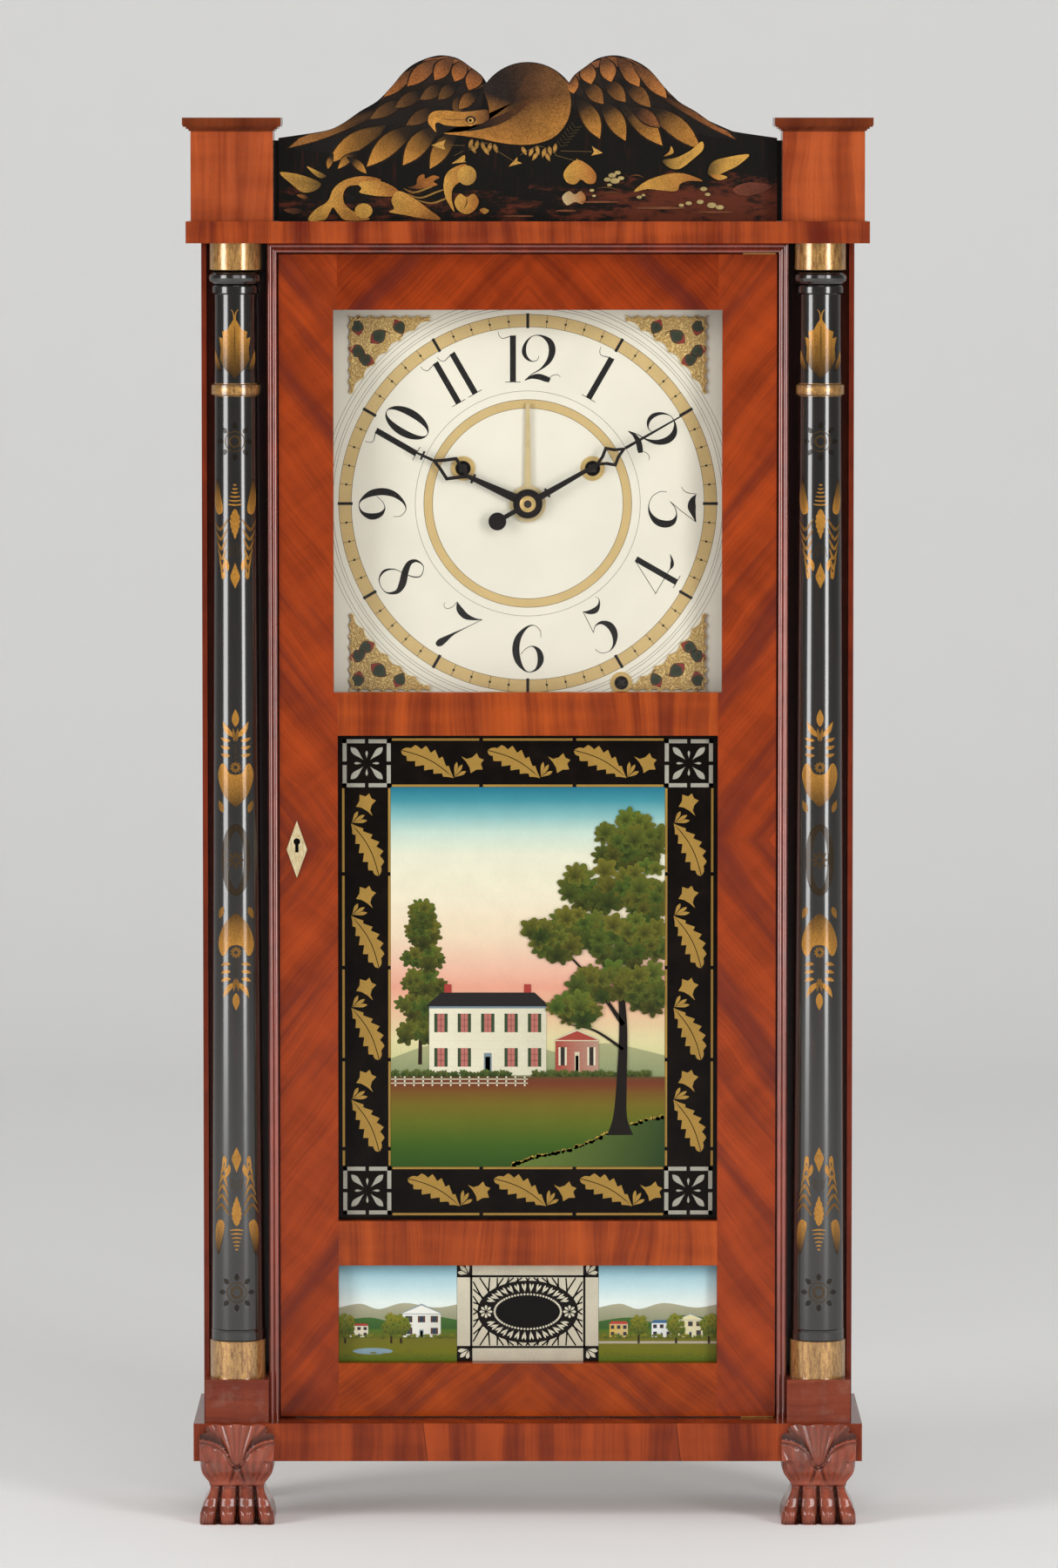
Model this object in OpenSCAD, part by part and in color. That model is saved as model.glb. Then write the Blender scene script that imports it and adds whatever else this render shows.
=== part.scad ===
// Column and splat shelf clock: mahogany case, full-length door, painted dial,
// wooden weight movement with strike and alarm. Millimetres, +Z up, front faces -Y.
// The origin is on the floor under the middle of the clock.

/* [Case] */
// Width over the case sides
case_w = 421; // [400:1:440]
// Depth of the case from the front edges of its sides to its back
case_d = 108; // [106:1:125]
// Height of the case between the base and the cornice
case_h = 762.8; // [756:0.1:790]
// Thickness of the case sides
side_t = 12; // [9:0.5:14]
// Thickness of the thin front lip of each side, beside its column
lip_t = 3.3; // [2:0.1:5]
// Depth of the black recess that each column stands in
recess_d = 18; // [17:0.5:20]
// Thickness of the recess boards behind the columns
stile_t = 8; // [6:0.5:9]
// How far the recess boards reach behind the door as its stop
stop_w = 9.7; // [6:0.1:14]
// Thickness of the backboard
back_t = 8; // [5:0.5:10]
// Thickness of the floor board
floor_t = 10; // [8:0.5:14]
// Thickness of the top board
top_t = 12; // [8:0.5:14]

/* [Base and cornice] */
// How far the base rail stands out beside the case
base_over = 6; // [3:0.5:14]
// Height of the base rail
base_h = 24.5; // [18:0.5:32]
// How far the base rail stands in front of the case
base_step = 28; // [26:0.5:34]
// Thickness of the base rail's side returns
return_t = 18; // [14:0.5:24]
// How far the cornice stands out beside the case
cornice_over = 9; // [6.5:0.5:10.5]
// Height of the cornice slab
cornice_h = 14; // [10:0.5:20]
// How far the cornice stands in front of the case
cornice_step = 25.5; // [23:0.5:30]
// Width of the plinth blocks on the cornice
block_w = 52.8; // [46:0.1:56]
// Height of the plinth blocks
block_h = 57.9; // [45:0.1:70]
// Depth of the plinth blocks
block_d = 44; // [36:0.5:60]
// How far each plinth block stands outside the axis of its column
block_out = 1.5; // [-0.5:0.5:2.5]
// Width of the moulded caps on the plinth blocks
cap_w = 63.3; // [58:0.1:66]
// Height of the moulded caps
cap_h = 8.5; // [7:0.1:12]
// Height of the splat
splat_h = 106.4; // [90:0.1:120]
// Thickness of the splat board
splat_t = 10; // [6:0.5:14]
// Gap between the splat and each plinth block
splat_gap = 3.2; // [1:0.1:6]

/* [Columns] */
// Distance of each column's axis from the outside of the case
column_inset = 22; // [20.5:0.5:23.5]
// Distance from each column's axis to the door moulding
column_space = 20.5; // [20.5:0.5:22]
// Height of the square block under each column
pad_h = 28; // [20:0.5:36]
// Width of the square block under each column
pad_w = 41; // [38:0.5:41]
// Diameter of the gilt band at the foot of the column
foot_band_dia = 36; // [30:0.5:36]
// Height of the gilt band at the foot of the column
foot_band_h = 24; // [16:0.5:30]
// Diameter of the shaft just above its foot
shaft_bottom_dia = 34; // [26:0.5:36]
// Diameter of the shaft under its capital
shaft_top_dia = 27.5; // [22:0.5:34]
// Diameter of the gilt band of the capital
capital_dia = 33; // [28:0.5:36]
// Height of the gilt band of the capital
capital_h = 16; // [10:0.5:22]
// Diameter of the black ring under the capital
torus_dia = 34.5; // [30:0.5:36]
// Distance of the gilt collar from the top of the column
collar_drop = 98; // [80:1:120]

/* [Feet] */
// Height of the feet
foot_h = 41.5; // [34:0.5:50]
// Width of a paw foot at its toes
paw_w = 48.5; // [40:0.5:54]
// Thickness of the carved leaf in front of the base rail
leaf_t = 4; // [3:0.5:6]
// Diameter of the turned rear feet
rear_foot_dia = 38; // [30:0.5:44]

/* [Door] */
// Gap round the door
door_gap = 1; // [0.8:0.1:1.4]
// Thickness of the door
door_t = 18; // [16:0.5:18.5]
// How far the door stands in front of the case sides
door_proud = 2; // [1:0.5:3]
// Width of the double-bead moulding round the door
moulding_w = 6.3; // [5:0.1:7]
// How far the moulding stands in front of the case sides
moulding_proud = 5; // [3:0.5:7]
// Width of the door stiles
door_stile_w = 37.7; // [32:0.1:42]
// How much wider the dial opening is cut on each side
dial_relief = 2.5; // [0:0.1:4]
// Height of the bottom door rail
bottom_rail_h = 34.7; // [28:0.1:42]
// Height of the lower opening
lower_open_h = 64; // [50:0.5:80]
// Height of the rail above the lower opening
lower_rail_h = 29; // [20:0.5:36]
// Height of the top door rail
top_rail_h = 35.8; // [28:0.1:42]
// Height of the rail above the picture opening
upper_rail_h = 28; // [20:0.5:36]
// Height of the dial opening
dial_open_h = 247; // [240:1:252]
// Depth of the glass rebates behind the front of the door
glass_setback = 9; // [6:0.5:11]
// Thickness of the glass panes
glass_t = 2; // [1.5:0.1:3]
// Width of the glass rebates
rebate_w = 4; // [3:0.1:6]
// Diameter of the hinge pins
hinge_pin_dia = 3; // [2:0.1:4]
// Distance of the hinge axis from the right edge of the door
hinge_inset = 5.2; // [4:0.1:8]
// How far the lock sits below the middle of the door
lock_drop = 7.25; // [-40:0.25:60]
// Length of the lock bolt's travel
bolt_travel = 5; // [3:0.5:6]

/* [Dial and hands] */
// How far the dial's centre lies below the middle of its opening
dial_drop = 2.5; // [-2:0.1:5]
// How far the dial board laps behind each recess board
dial_lap = 13; // [11:0.5:18]
// Height of the dial board
dial_h = 290; // [280:1:300]
// Thickness of the dial board
dial_t = 8; // [6:0.5:9]
// Sideways distance of the winding holes from the dial's centre
wind_x = 42; // [42:0.5:43]
// Height of the winding holes above the dial's centre
wind_z = 22.8; // [22:0.1:24]
// Radius of the winding holes
wind_hole_r = 5; // [4.5:0.1:6]
// Sideways distance of the alarm hole
alarm_x = 60.8; // [58:0.1:63]
// Distance of the alarm hole below the dial's centre
alarm_drop = 116.5; // [114:0.1:118]
// Length of the minute hand
minute_len = 122; // [110:1:124]
// Length of the hour hand
hour_len = 85; // [75:1:92]
// Length of the alarm pointer
alarm_len = 65; // [50:1:72]
// Direction of the minute hand, in degrees clockwise from twelve
minute_turn = 60.2; // [0:0.1:360]
// Direction of the hour hand, in degrees clockwise from twelve
hour_turn = -65.3; // [-180:0.1:180]

/* [Movement] */
// Thickness of the wooden plates
plate_t = 8; // [6:0.5:9]
// Space between the plates
plate_gap = 32; // [32:0.5:34]
// Half the width of the plates
plate_half_w = 95; // [93:1:105]
// Teeth of the great wheel
great_teeth = 60; // [60:1:60]
// Teeth of the centre pinion
centre_leaves = 10; // [10:1:10]
// Tooth size of the centre wheel
centre_module = 1; // [0.95:0.01:1.03]
// Tooth size of the third wheel
third_module = 0.95; // [0.9:0.01:0.98]
// Radius of the winding drums
drum_r = 11; // [9:0.1:11.5]
// Diameter of the weight cords
cord_dia = 2.2; // [1.6:0.1:2.4]
// Length of the pendulum from its stud to the middle of the bob
pendulum_len = 274; // [262:1:290]
// Diameter of the pendulum bob
bob_dia = 44; // [36:1:50]
// Diameter of the bell
bell_dia = 76; // [64:1:80]
// Width of a weight
weight_w = 42; // [36:1:43]
// Height of a weight
weight_h = 140; // [110:1:170]
// How far a weight rises when it is wound up
weight_travel = 400; // [300:5:420]

/* [Hidden] */

mahogany = "#8a3a1c";
dark_mahogany = "#5c2414";
pine = "#c9a56b";
black_paint = "#1c1715";
gilt = "#b58a43";
brass = "#c9a352";
cherry = "#a5643a";
iron = "#3a3a3c";
steel_blue = "#20263a";
bone = "#e8dcc0";

// Clearance of a pin or an arbor in its hole, on the radius
run = 0.08;
// Gap left between two pieces that only lie beside each other
slack = 0.3;
// Gap at the glued mitres of the door moulding
mitre_gap = 0.1;

overall_d = case_d + base_step + leaf_t;
y_back = overall_d / 2;
y_case = y_back - case_d;
y_rail = y_case - base_step;
y_recess = y_case + recess_d;
y_stile_back = y_recess + stile_t;
y_inside = y_back - back_t;
y_cornice = y_case - cornice_step;

z_base = foot_h;
z_case = z_base + base_h;
z_cornice = z_case + case_h;
z_crown = z_cornice + cornice_h;
z_floor = z_case + floor_t;
z_top = z_cornice - top_t;

x_side = case_w / 2;
x_in = x_side - side_t;
base_w = case_w + 2 * base_over;
cornice_w = case_w + 2 * cornice_over;
column_x = x_side - column_inset;
block_x = column_x + block_out;

// Door and its openings
z_head = z_cornice - moulding_w;
door_z0 = z_case + door_gap;
door_z1 = z_head - door_gap;
x_mould_out = column_x - column_space;
x_mould_in = x_mould_out - moulding_w;
x_door = x_mould_in - door_gap;
x_stop = x_mould_in - stop_w;
dial_w = 2 * (x_stop + dial_lap);
y_door = y_case - door_proud;
y_door_back = y_door + door_t;
y_glass = y_door + glass_setback;
x_open = x_door - door_stile_w;
lower_z0 = door_z0 + bottom_rail_h;
lower_z1 = lower_z0 + lower_open_h;
picture_z0 = lower_z1 + lower_rail_h;
dial_z1 = door_z1 - top_rail_h;
dial_z0 = dial_z1 - dial_open_h;
picture_z1 = dial_z0 - upper_rail_h;
dial_z = (dial_z0 + dial_z1) / 2 - dial_drop;
hinge_x = x_door - hinge_inset;
hinge_y = y_case;
hinge_pin_len = 5;
hinge_plate = [22, 12, door_gap - 0.2];

// Lock on the left stile
lock_x = -(x_door - 11.2);
lock_z = (door_z0 + door_z1) / 2 - lock_drop;
keyhole_z = lock_z + 5;
escutcheon_w = 13.3;
escutcheon_h = 37;
lock_w = 30;
lock_h = 40;
lock_t = 8;
bolt_h = 10;
bolt_t = 3;
bolt_len = 20;
bolt_x = x_door - 0.5;
bolt_y = y_door_back - lock_t / 2 - bolt_t / 2;
bolt_slack = 0.25;

// Dial, behind the recess boards
y_dial = y_stile_back;
y_dial_back = y_dial + dial_t;
dial_low = dial_z - dial_h / 2;
pipe_r = 4.2;
arbor_r = 2.5;
hand_t = 0.8;
y_alarm_hand = y_dial - 2.5;
y_hour_hand = y_dial - 5;
y_minute_hand = y_dial - 8;
y_nut = y_dial - 10.6;

// Movement, between the dial and the backboard
y_plate2 = y_inside - plate_t;
y_plate1 = y_plate2 - plate_gap;
y_front = y_plate1 - plate_t;
y_gear = y_plate1;
plate_low = -130;
plate_high = 112;
pillar_x = 86;
pillar_high = 104;
pillar_low = -122;
pillar_r = 5;

// Arbor places as [x, height] from the dial's centre
centre_at = [0, 0];
great_at = [wind_x, wind_z];
strike_at = [-wind_x, wind_z];
centre_wheel_teeth = 60;
third_leaves = 7;
third_wheel_teeth = 60;
escape_leaves = 6;
escape_teeth = 40;
great_module = 2 * norm(great_at) / (great_teeth + centre_leaves);
third_dist = centre_module * (centre_wheel_teeth + third_leaves) / 2;
third_dx = -3;
third_at = [third_dx, sqrt(third_dist * third_dist - third_dx * third_dx)];
escape_dist = third_module * (third_wheel_teeth + escape_leaves) / 2;
escape_x = -20;
escape_dx = escape_x - third_dx;
escape_at = [escape_x, third_at[1] + sqrt(escape_dist * escape_dist - escape_dx * escape_dx)];
verge_at = escape_at + [0, 31];
stud_at = verge_at + [0, 9];
escape_r = 26;
minute_module = 1;
cannon_leaves = 12;
minute_teeth = 36;
minute_dist = minute_module * (cannon_leaves + minute_teeth) / 2;
minute_angle = -45;
minute_at = minute_dist * [cos(minute_angle), sin(minute_angle)];
minute_leaves = 10;
hour_teeth = 40;
hour_module = 2 * minute_dist / (minute_leaves + hour_teeth);
strike_module = 1.3;
strike_teeth = 54;
pin_leaves = 8;
pin_at = strike_at - [0, strike_module * (strike_teeth + pin_leaves) / 2];
pin_wheel_r = 22;
hammer_at = [-25, -80];
alarm_at = [alarm_x, -alarm_drop];
alarm_hammer_at = alarm_at + [-8.8, 19.5];
alarm_r = 13;

winding_r = 4;
alarm_arbor_r = 3;
stud_r = 2;
cord_r = cord_dia / 2;
wrap_r = drum_r + cord_r + slack;
weight_x = x_in - 38.5;
weight_y = y_gear + 14;
strike_cord_y = y_gear + 18;
pulley_x = weight_x - wrap_r;
pulley_z = z_top - wrap_r - cord_r - 5;
weight_z0 = z_floor + slack;
hook_r = 5;
hook_wire_r = 1.4;
hook_top = weight_z0 + weight_h + 3 + 2 * hook_r + hook_wire_r;
pulley_w = 8;
cheek_t = 5;
bell_at = [12, -187];
bell_depth = 24;
bell_y = y_inside - 6;
bell_wall = 3;
pendulum_y = y_front - 7;
rod_r = 0.9;
crutch_len = 22;
fine = 48;

// A straight board between two corners
module board(x0, x1, y0, y1, z0, z1) {
    translate([x0, y0, z0]) cube([x1 - x0, y1 - y0, z1 - z0]);
}

// The children and their mirror image across the clock's middle
module both_sides() {
    children();
    mirror([1, 0, 0]) children();
}

// An outline drawn in the front view, given thickness from y0 to y1
module front_shape(y0, y1) {
    translate([0, y1, 0]) rotate([90, 0, 0]) linear_extrude(y1 - y0) children();
}

// A round rod along Y
module rod(r, y0, y1) {
    translate([0, y1, 0]) rotate([90, 0, 0]) cylinder(r = r, h = y1 - y0, $fn = fine);
}

// Moves the children to a place given from the dial's centre
module at(place) {
    translate([place[0], 0, dial_z + place[1]]) children();
}

function arc(c, r, a0, a1, n) =
    [for (i = [0:n]) c + r * [cos(a0 + (a1 - a0) * i / n), sin(a0 + (a1 - a0) * i / n)]];

// Smooth curve through a list of points
function bend(p0, p1, p2, p3, t) =
    0.5 * (2 * p1 + (p2 - p0) * t + (2 * p0 - 5 * p1 + 4 * p2 - p3) * t * t
           + (3 * p1 - p0 - 3 * p2 + p3) * t * t * t);
function smooth(pts, steps) = [
    for (i = [0:len(pts) - 2], k = [0:steps - 1])
        bend(pts[max(i - 1, 0)], pts[i], pts[i + 1], pts[min(i + 2, len(pts) - 1)], k / steps),
    pts[len(pts) - 1],
];
function flip(pts) = [for (i = [len(pts) - 1:-1:0]) [-pts[i][0], pts[i][1]]];

// Toothed outline: n teeth of the given module, one of them centred on the angle turn.
// share is the part of the pitch that a tooth takes up
function toothed(n, size, turn, tip, root, share) =
    let (pitch = 360 / n, r = n * size / 2,
         tooth = [[r - root, -0.62], [r, -0.5], [r + tip, -0.2], [r + tip, 0.2], [r, 0.5], [r - root, 0.62]])
    [for (i = [0:n - 1], q = tooth)
        q[0] * [cos(turn + (i + q[1] * share) * pitch), sin(turn + (i + q[1] * share) * pitch)]];

// Outline of a recoil escape or alarm wheel with n pointed teeth
function ratchet(n, r, depth) =
    [for (i = [0:n - 1], q = [[r - depth, 0.05], [r, 0.5], [r, 0.62], [r - depth, 0.95]])
        q[0] * [cos((i + q[1]) * 360 / n), sin((i + q[1]) * 360 / n)]];

function heading(a, b) = atan2(b[1] - a[1], b[0] - a[0]);

// A wheel and the pinion that it drives, in mesh: a tooth of the wheel on the line of centres
module wheel(n, size, from, to, y0, y1) {
    front_shape(y0, y1) polygon(toothed(n, size, heading(from, to), 0.85 * size, 1.35 * size, 0.36));
}
module pinion(n, size, from, to, y0, y1) {
    front_shape(y0, y1)
        polygon(toothed(n, size, heading(from, to) + 180 + 180 / n, 0.7 * size, 1.2 * size, 0.3));
}

module case_sides() {
    color(mahogany) both_sides() translate([0, 0, z_case]) linear_extrude(case_h)
        polygon([[x_side, y_case], [x_side, y_back], [x_in, y_back], [x_in, y_recess],
                 [x_side - lip_t, y_recess], [x_side - lip_t, y_case]]);
}

// Two cheeks that hang a pulley from the top board, bored for its axle
module pulley_cheeks(y) {
    for (side = [-1, 1]) {
        near = y + side * (pulley_w / 2 + 0.5);
        far = near + side * cheek_t;
        difference() {
            board(pulley_x - 8, pulley_x + 8, min(near, far), max(near, far), pulley_z - 8, z_top);
            translate([pulley_x, 0, pulley_z]) rod(stud_r + run, y_stile_back, y_inside);
        }
    }
}

module case_top() {
    color(pine) {
        board(-x_in, x_in, y_stile_back, y_inside, z_top, z_cornice);
        pulley_cheeks(weight_y);
        mirror([1, 0, 0]) pulley_cheeks(strike_cord_y);
    }
}

module case_bottom() {
    color(pine) board(-x_in, x_in, y_stile_back, y_inside, z_case, z_floor);
}

module backboard() {
    color(pine) board(-x_in, x_in, y_inside, y_back, z_case, z_cornice);
}

module front_stiles() {
    color(black_paint) both_sides() board(x_stop, x_in, y_recess, y_stile_back, z_case, z_cornice);
}

// One length of double-bead moulding, standing from z0 to z1, mitred at its top
module bead_post(z0, z1) {
    bead = moulding_w / 4;
    difference() {
        union() {
            board(x_mould_in, x_mould_out, y_case - moulding_proud + bead * 0.75, y_recess, z0, z1);
            for (i = [1, 3])
                translate([x_mould_in + i * bead, y_case - moulding_proud + bead, z0])
                    cylinder(r = bead, h = z1 - z0, $fn = 24);
        }
        translate([x_mould_in, y_case - 20, z1 - moulding_w - mitre_gap]) rotate([0, -45, 0])
            translate([-20, 0, 0]) cube([60, 60, 20]);
    }
}

module door_moulding() {
    bead = moulding_w / 4;
    color(dark_mahogany) {
        difference() {
            both_sides() bead_post(z_case, z_cornice);
            board(-x_mould_out - 1, -x_mould_in + 1, bolt_y - 0.7, bolt_y + bolt_t + 0.7,
                  lock_z - bolt_h / 2 - 1, lock_z + bolt_h / 2 + 1);
        }
        difference() {
            union() {
                board(-x_mould_out, x_mould_out, y_case - moulding_proud + bead * 0.75, y_recess, z_head, z_cornice);
                for (i = [1, 3])
                    translate([-x_mould_out, y_case - moulding_proud + bead, z_head + i * bead])
                        rotate([0, 90, 0]) cylinder(r = bead, h = 2 * x_mould_out, $fn = 24);
            }
            both_sides() translate([x_mould_in, y_case - 20, z_head + mitre_gap]) rotate([0, -45, 0])
                translate([-20, 0, -30]) cube([60, 60, 30]);
            translate([hinge_x, hinge_y, z_head - 1])
                cylinder(d = hinge_pin_dia + 2 * run, h = hinge_pin_len + 2, $fn = fine);
        }
    }
}

module cornice() {
    color(mahogany) board(-cornice_w / 2, cornice_w / 2, y_cornice, y_back, z_cornice, z_crown);
}

module base_rail() {
    color(mahogany) difference() {
        board(-base_w / 2, base_w / 2, y_rail, y_back, z_base, z_case);
        board(return_t - base_w / 2, base_w / 2 - return_t, y_recess, y_back + 1, z_base - 1, z_case + 1);
        translate([hinge_x, hinge_y, z_case - hinge_pin_len - 1])
            cylinder(d = hinge_pin_dia + 2 * run, h = hinge_pin_len + 2, $fn = fine);
    }
}

// Plinth block with its cap: a cove, a thin groove and a plain fascia, three sides round
module plinth_block() {
    over = (cap_w - block_w) / 2;
    y0 = y_cornice + over;
    z_cap = z_crown + block_h;
    module step(out, z0, z1) {
        board(-block_w / 2 - out, block_w / 2 + out, y0 - out, y0 + block_d, z0, z1);
    }
    step(0, z_crown, z_cap);
    step(over * 0.25, z_cap, z_cap + cap_h * 0.15);
    step(over * 0.55, z_cap + cap_h * 0.15, z_cap + cap_h * 0.3);
    step(over * 0.9, z_cap + cap_h * 0.3, z_cap + cap_h * 0.42);
    step(over, z_cap + cap_h * 0.42, z_cap + cap_h);
}

module plinth_blocks() {
    color(mahogany) both_sides() translate([block_x, 0, 0]) plinth_block();
}

// Splat board: a middle hump, two lobes and a falling shoulder each side, mirrored about the middle
module splat() {
    half = block_x - block_w / 2 - splat_gap;
    k = half / 160.4;
    t = splat_h;
    hump = arc([0, t - 37.5], 33.2, 90, 37, 12);
    wing = smooth([[26.5, t - 17.6], [30, t - 12.6], [37, t - 7.3], [45, t - 2], [55, t], [64, t - 1.6],
                   [73, t - 5.5], [80, t - 11], [88, t - 20.5], [97, t - 29.5], [108, t - 36],
                   [118, t - 43], [127, t - 47.5], [138, t - 49.8]], 4);
    tail = [[160.4, t - 53]];
    right = [for (p = concat(hump, wing, tail)) [p[0] * k, p[1]]];
    color(black_paint) translate([0, 0, z_crown]) front_shape(y_case - 6, y_case - 6 + splat_t)
        polygon(concat([[-right[len(right) - 1][0], 0], [right[len(right) - 1][0], 0]],
                       [for (i = [len(right) - 1:-1:0]) right[i]],
                       [for (i = [1:len(right) - 1]) [-right[i][0], right[i][1]]]));
}

// Turned column: gilt foot band, tapered shaft with a gilt collar, ring and gilt capital
module column() {
    z0 = z_case + pad_h;
    foot_z = z0 + foot_band_h;
    torus_h = 9;
    cap_z = z_cornice - capital_h - 1;
    torus_z = cap_z - torus_h - 1;
    neck_z = torus_z - 6;
    collar_z = z_cornice - collar_drop;
    collar_h = 7.5;
    function shaft_r(z) =
        (shaft_bottom_dia + (shaft_top_dia - shaft_bottom_dia) * (z - foot_z) / (neck_z - foot_z)) / 2;
    collar_r = shaft_r(collar_z) + 1.6;
    profile = concat(
        [[0, z0], [foot_band_dia / 2, z0], [foot_band_dia / 2, foot_z]],
        [[foot_band_dia / 2 - 0.8, foot_z + 1], [foot_band_dia / 2 - 0.8, foot_z + 6],
         [shaft_r(foot_z) + 0.5, foot_z + 7.5], [shaft_r(foot_z), foot_z + 8]],
        [[shaft_r(collar_z), collar_z], [collar_r, collar_z + 0.6],
         [collar_r, collar_z + collar_h - 0.6], [shaft_r(collar_z + collar_h), collar_z + collar_h]],
        [[shaft_r(neck_z), neck_z], [torus_dia / 2 - 2, neck_z + 1], [torus_dia / 2 - 2, neck_z + 5],
         [torus_dia / 2 - 2.6, torus_z]],
        arc([torus_dia / 2 - torus_h / 2, torus_z + torus_h / 2], torus_h / 2, -80, 80, 6),
        [[capital_dia / 2 - 1, cap_z - 0.6], [capital_dia / 2, cap_z],
         [capital_dia / 2, z_cornice], [0, z_cornice]]);
    translate([0, y_recess - 4 - foot_band_dia / 2, 0])
        rotate_extrude($fn = 96) polygon(profile);
}

module column_left() {
    color(black_paint) translate([-column_x, 0, 0]) column();
}

module column_right() {
    color(black_paint) translate([column_x, 0, 0]) column();
}

module column_blocks() {
    y0 = y_recess - 4 - foot_band_dia - 2;
    color(mahogany) both_sides()
        board(column_x - pad_w / 2, x_side - lip_t, y_case, y_recess, z_case, z_case + pad_h);
    color(mahogany) both_sides()
        board(column_x - pad_w / 2, column_x + pad_w / 2, y0, y_case, z_case, z_case + pad_h);
}

// Carved paw foot: a leaf standing up in front of the rail, a full calf, an ankle and four round toes
module paw_foot() {
    half = paw_w / 2;
    toe_r = paw_w / 8;
    y0 = y_rail - leaf_t;
    depth = 46;
    ankle_z = foot_h * 0.6;
    edge = smooth([[half, 3], [half - 0.6, 8], [half - 3, 14], [17.9, 20.5], [17.3, ankle_z], [19.4, 28.5],
                   [22.4, 33], [24, 37.5], [24.2, foot_h]], 4);
    front = concat([[-half, 0], [half, 0]], edge, flip(edge));
    side = concat([[y0 + depth, 0], [y0 + 2, 0]],
                  [[y0, 3], [y0, 6], [y0 + 1.5, 9.5]],
                  smooth([[y0 + 1.5, 9.5], [y0 + 3.6, 12.5], [y0 + 5.2, 17], [y0 + 8.5, 21.5], [y0 + 9.4, ankle_z + 1],
                          [y0 + 7, 30], [y0 + 3, 35], [y0 + 0.8, 39], [y0, foot_h]], 3),
                  [[y0 + depth - 2, foot_h], [y0 + depth - 6, ankle_z]]);
    round = smooth([[half, 13], [half - 1.4, 6.5], [half - 5, 2.4], [half - 10, 0.5], [half - 15, 0]], 4);
    module plan(z0, z1) {
        translate([0, y0, z0]) linear_extrude(z1 - z0) children();
    }
    intersection() {
        front_shape(y0 - 1, y0 + depth + 1) polygon(front);
        translate([-half, 0, 0]) rotate([90, 0, 90]) linear_extrude(paw_w) polygon(side);
        union() {
            plan(0, ankle_z - 2) {
                translate([-half, toe_r - 1]) square([paw_w, depth]);
                for (i = [-1.5:1:1.5]) translate([i * 2 * toe_r, toe_r]) circle(r = toe_r, $fn = 32);
            }
            plan(ankle_z - 2, foot_h) polygon(concat([[-half, depth], [half, depth]], round, flip(round)));
        }
    }
    leaf_h = base_h;
    leaf = concat([[-24.2, 0], [24.2, 0], [24.2, leaf_h * 0.25]],
                  smooth([[24.2, leaf_h * 0.68], [22, leaf_h * 0.78], [18, leaf_h * 0.74], [20, leaf_h * 0.9],
                          [15, leaf_h], [8, leaf_h * 0.97], [0, leaf_h]], 3),
                  flip(smooth([[24.2, leaf_h * 0.68], [22, leaf_h * 0.78], [18, leaf_h * 0.74],
                               [20, leaf_h * 0.9], [15, leaf_h], [8, leaf_h * 0.97], [0, leaf_h]], 3)),
                  [[-24.2, leaf_h * 0.25]]);
    translate([0, 0, foot_h]) front_shape(y0, y_rail) polygon(leaf);
}

module paw_feet() {
    color(mahogany) both_sides() translate([column_x, 0, 0]) paw_foot();
}

// Plain turned feet under the back corners
module rear_feet() {
    r = rear_foot_dia / 2;
    color(dark_mahogany) both_sides()
        translate([base_w / 2 - r - 2, y_back - r - 2, 0]) rotate_extrude($fn = 64)
            polygon([[0, 0], [r * 0.62, 0], [r * 0.72, foot_h * 0.1], [r * 0.95, foot_h * 0.45],
                     [r, foot_h * 0.62], [r * 0.9, foot_h * 0.8], [r * 0.62, foot_h * 0.86],
                     [r * 0.62, foot_h * 0.9], [r * 0.9, foot_h * 0.92], [r * 0.9, foot_h], [0, foot_h]]);
}

module dial_board() {
    color(bone) difference() {
        board(-dial_w / 2, dial_w / 2, y_dial, y_dial_back, dial_low, dial_low + dial_h);
        at(centre_at) rod(pipe_r + 0.8, y_dial - 1, y_dial_back + 1);
        for (x = [-wind_x, wind_x]) at([x, wind_z]) rod(wind_hole_r, y_dial - 1, y_dial_back + 1);
        at(alarm_at) rod(wind_hole_r - 0.5, y_dial - 1, y_dial_back + 1);
    }
}

// Raised gilt corner ornaments with scalloped edges
module dial_spandrels() {
    corner = [116.5, 122];
    leg = [53, 50];
    reach = 134;
    dents = 7;
    edge = [for (i = [0:dents * 4])
        let (f = i / (dents * 4), x = corner[0] - f * leg[0])
            [x, corner[1] - 1.6 * abs(sin(f * dents * 180))]];
    post = [for (i = [dents * 4:-1:0])
        let (f = i / (dents * 4), z = corner[1] - f * leg[1])
            [corner[0] - 1.6 * abs(sin(f * dents * 180)), z]];
    a0 = asin((corner[1] - leg[1]) / reach);
    a1 = acos((corner[0] - leg[0]) / reach);
    inner = [for (i = [0:24]) let (f = i / 24, a = a1 + (a0 - a1) * f)
        (reach + 2.2 * abs(sin(f * 6 * 180))) * [cos(a), sin(a)]];
    outline = concat(edge, inner, [for (i = [0:len(post) - 2]) post[i]]);
    color(gilt) difference() {
        for (sx = [-1, 1], sz = [-1, 1])
            at(centre_at) front_shape(y_dial - 1.4, y_dial)
                polygon([for (p = outline) [sx * p[0], sz * p[1]]]);
        at(alarm_at) rod(wind_hole_r + 2.6, y_dial - 3, y_dial + 1);
    }
}

module dial_eyelets() {
    module eyelet(r_in, r_out) {
        front_shape(y_dial - 0.8, y_dial) difference() {
            circle(r = r_out, $fn = fine);
            circle(r = r_in, $fn = fine);
        }
    }
    color(brass) {
        for (x = [-wind_x, wind_x]) at([x, wind_z]) eyelet(wind_hole_r, wind_hole_r + 2.9);
        at(alarm_at) eyelet(wind_hole_r - 0.5, wind_hole_r + 2.2);
    }
}

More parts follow.
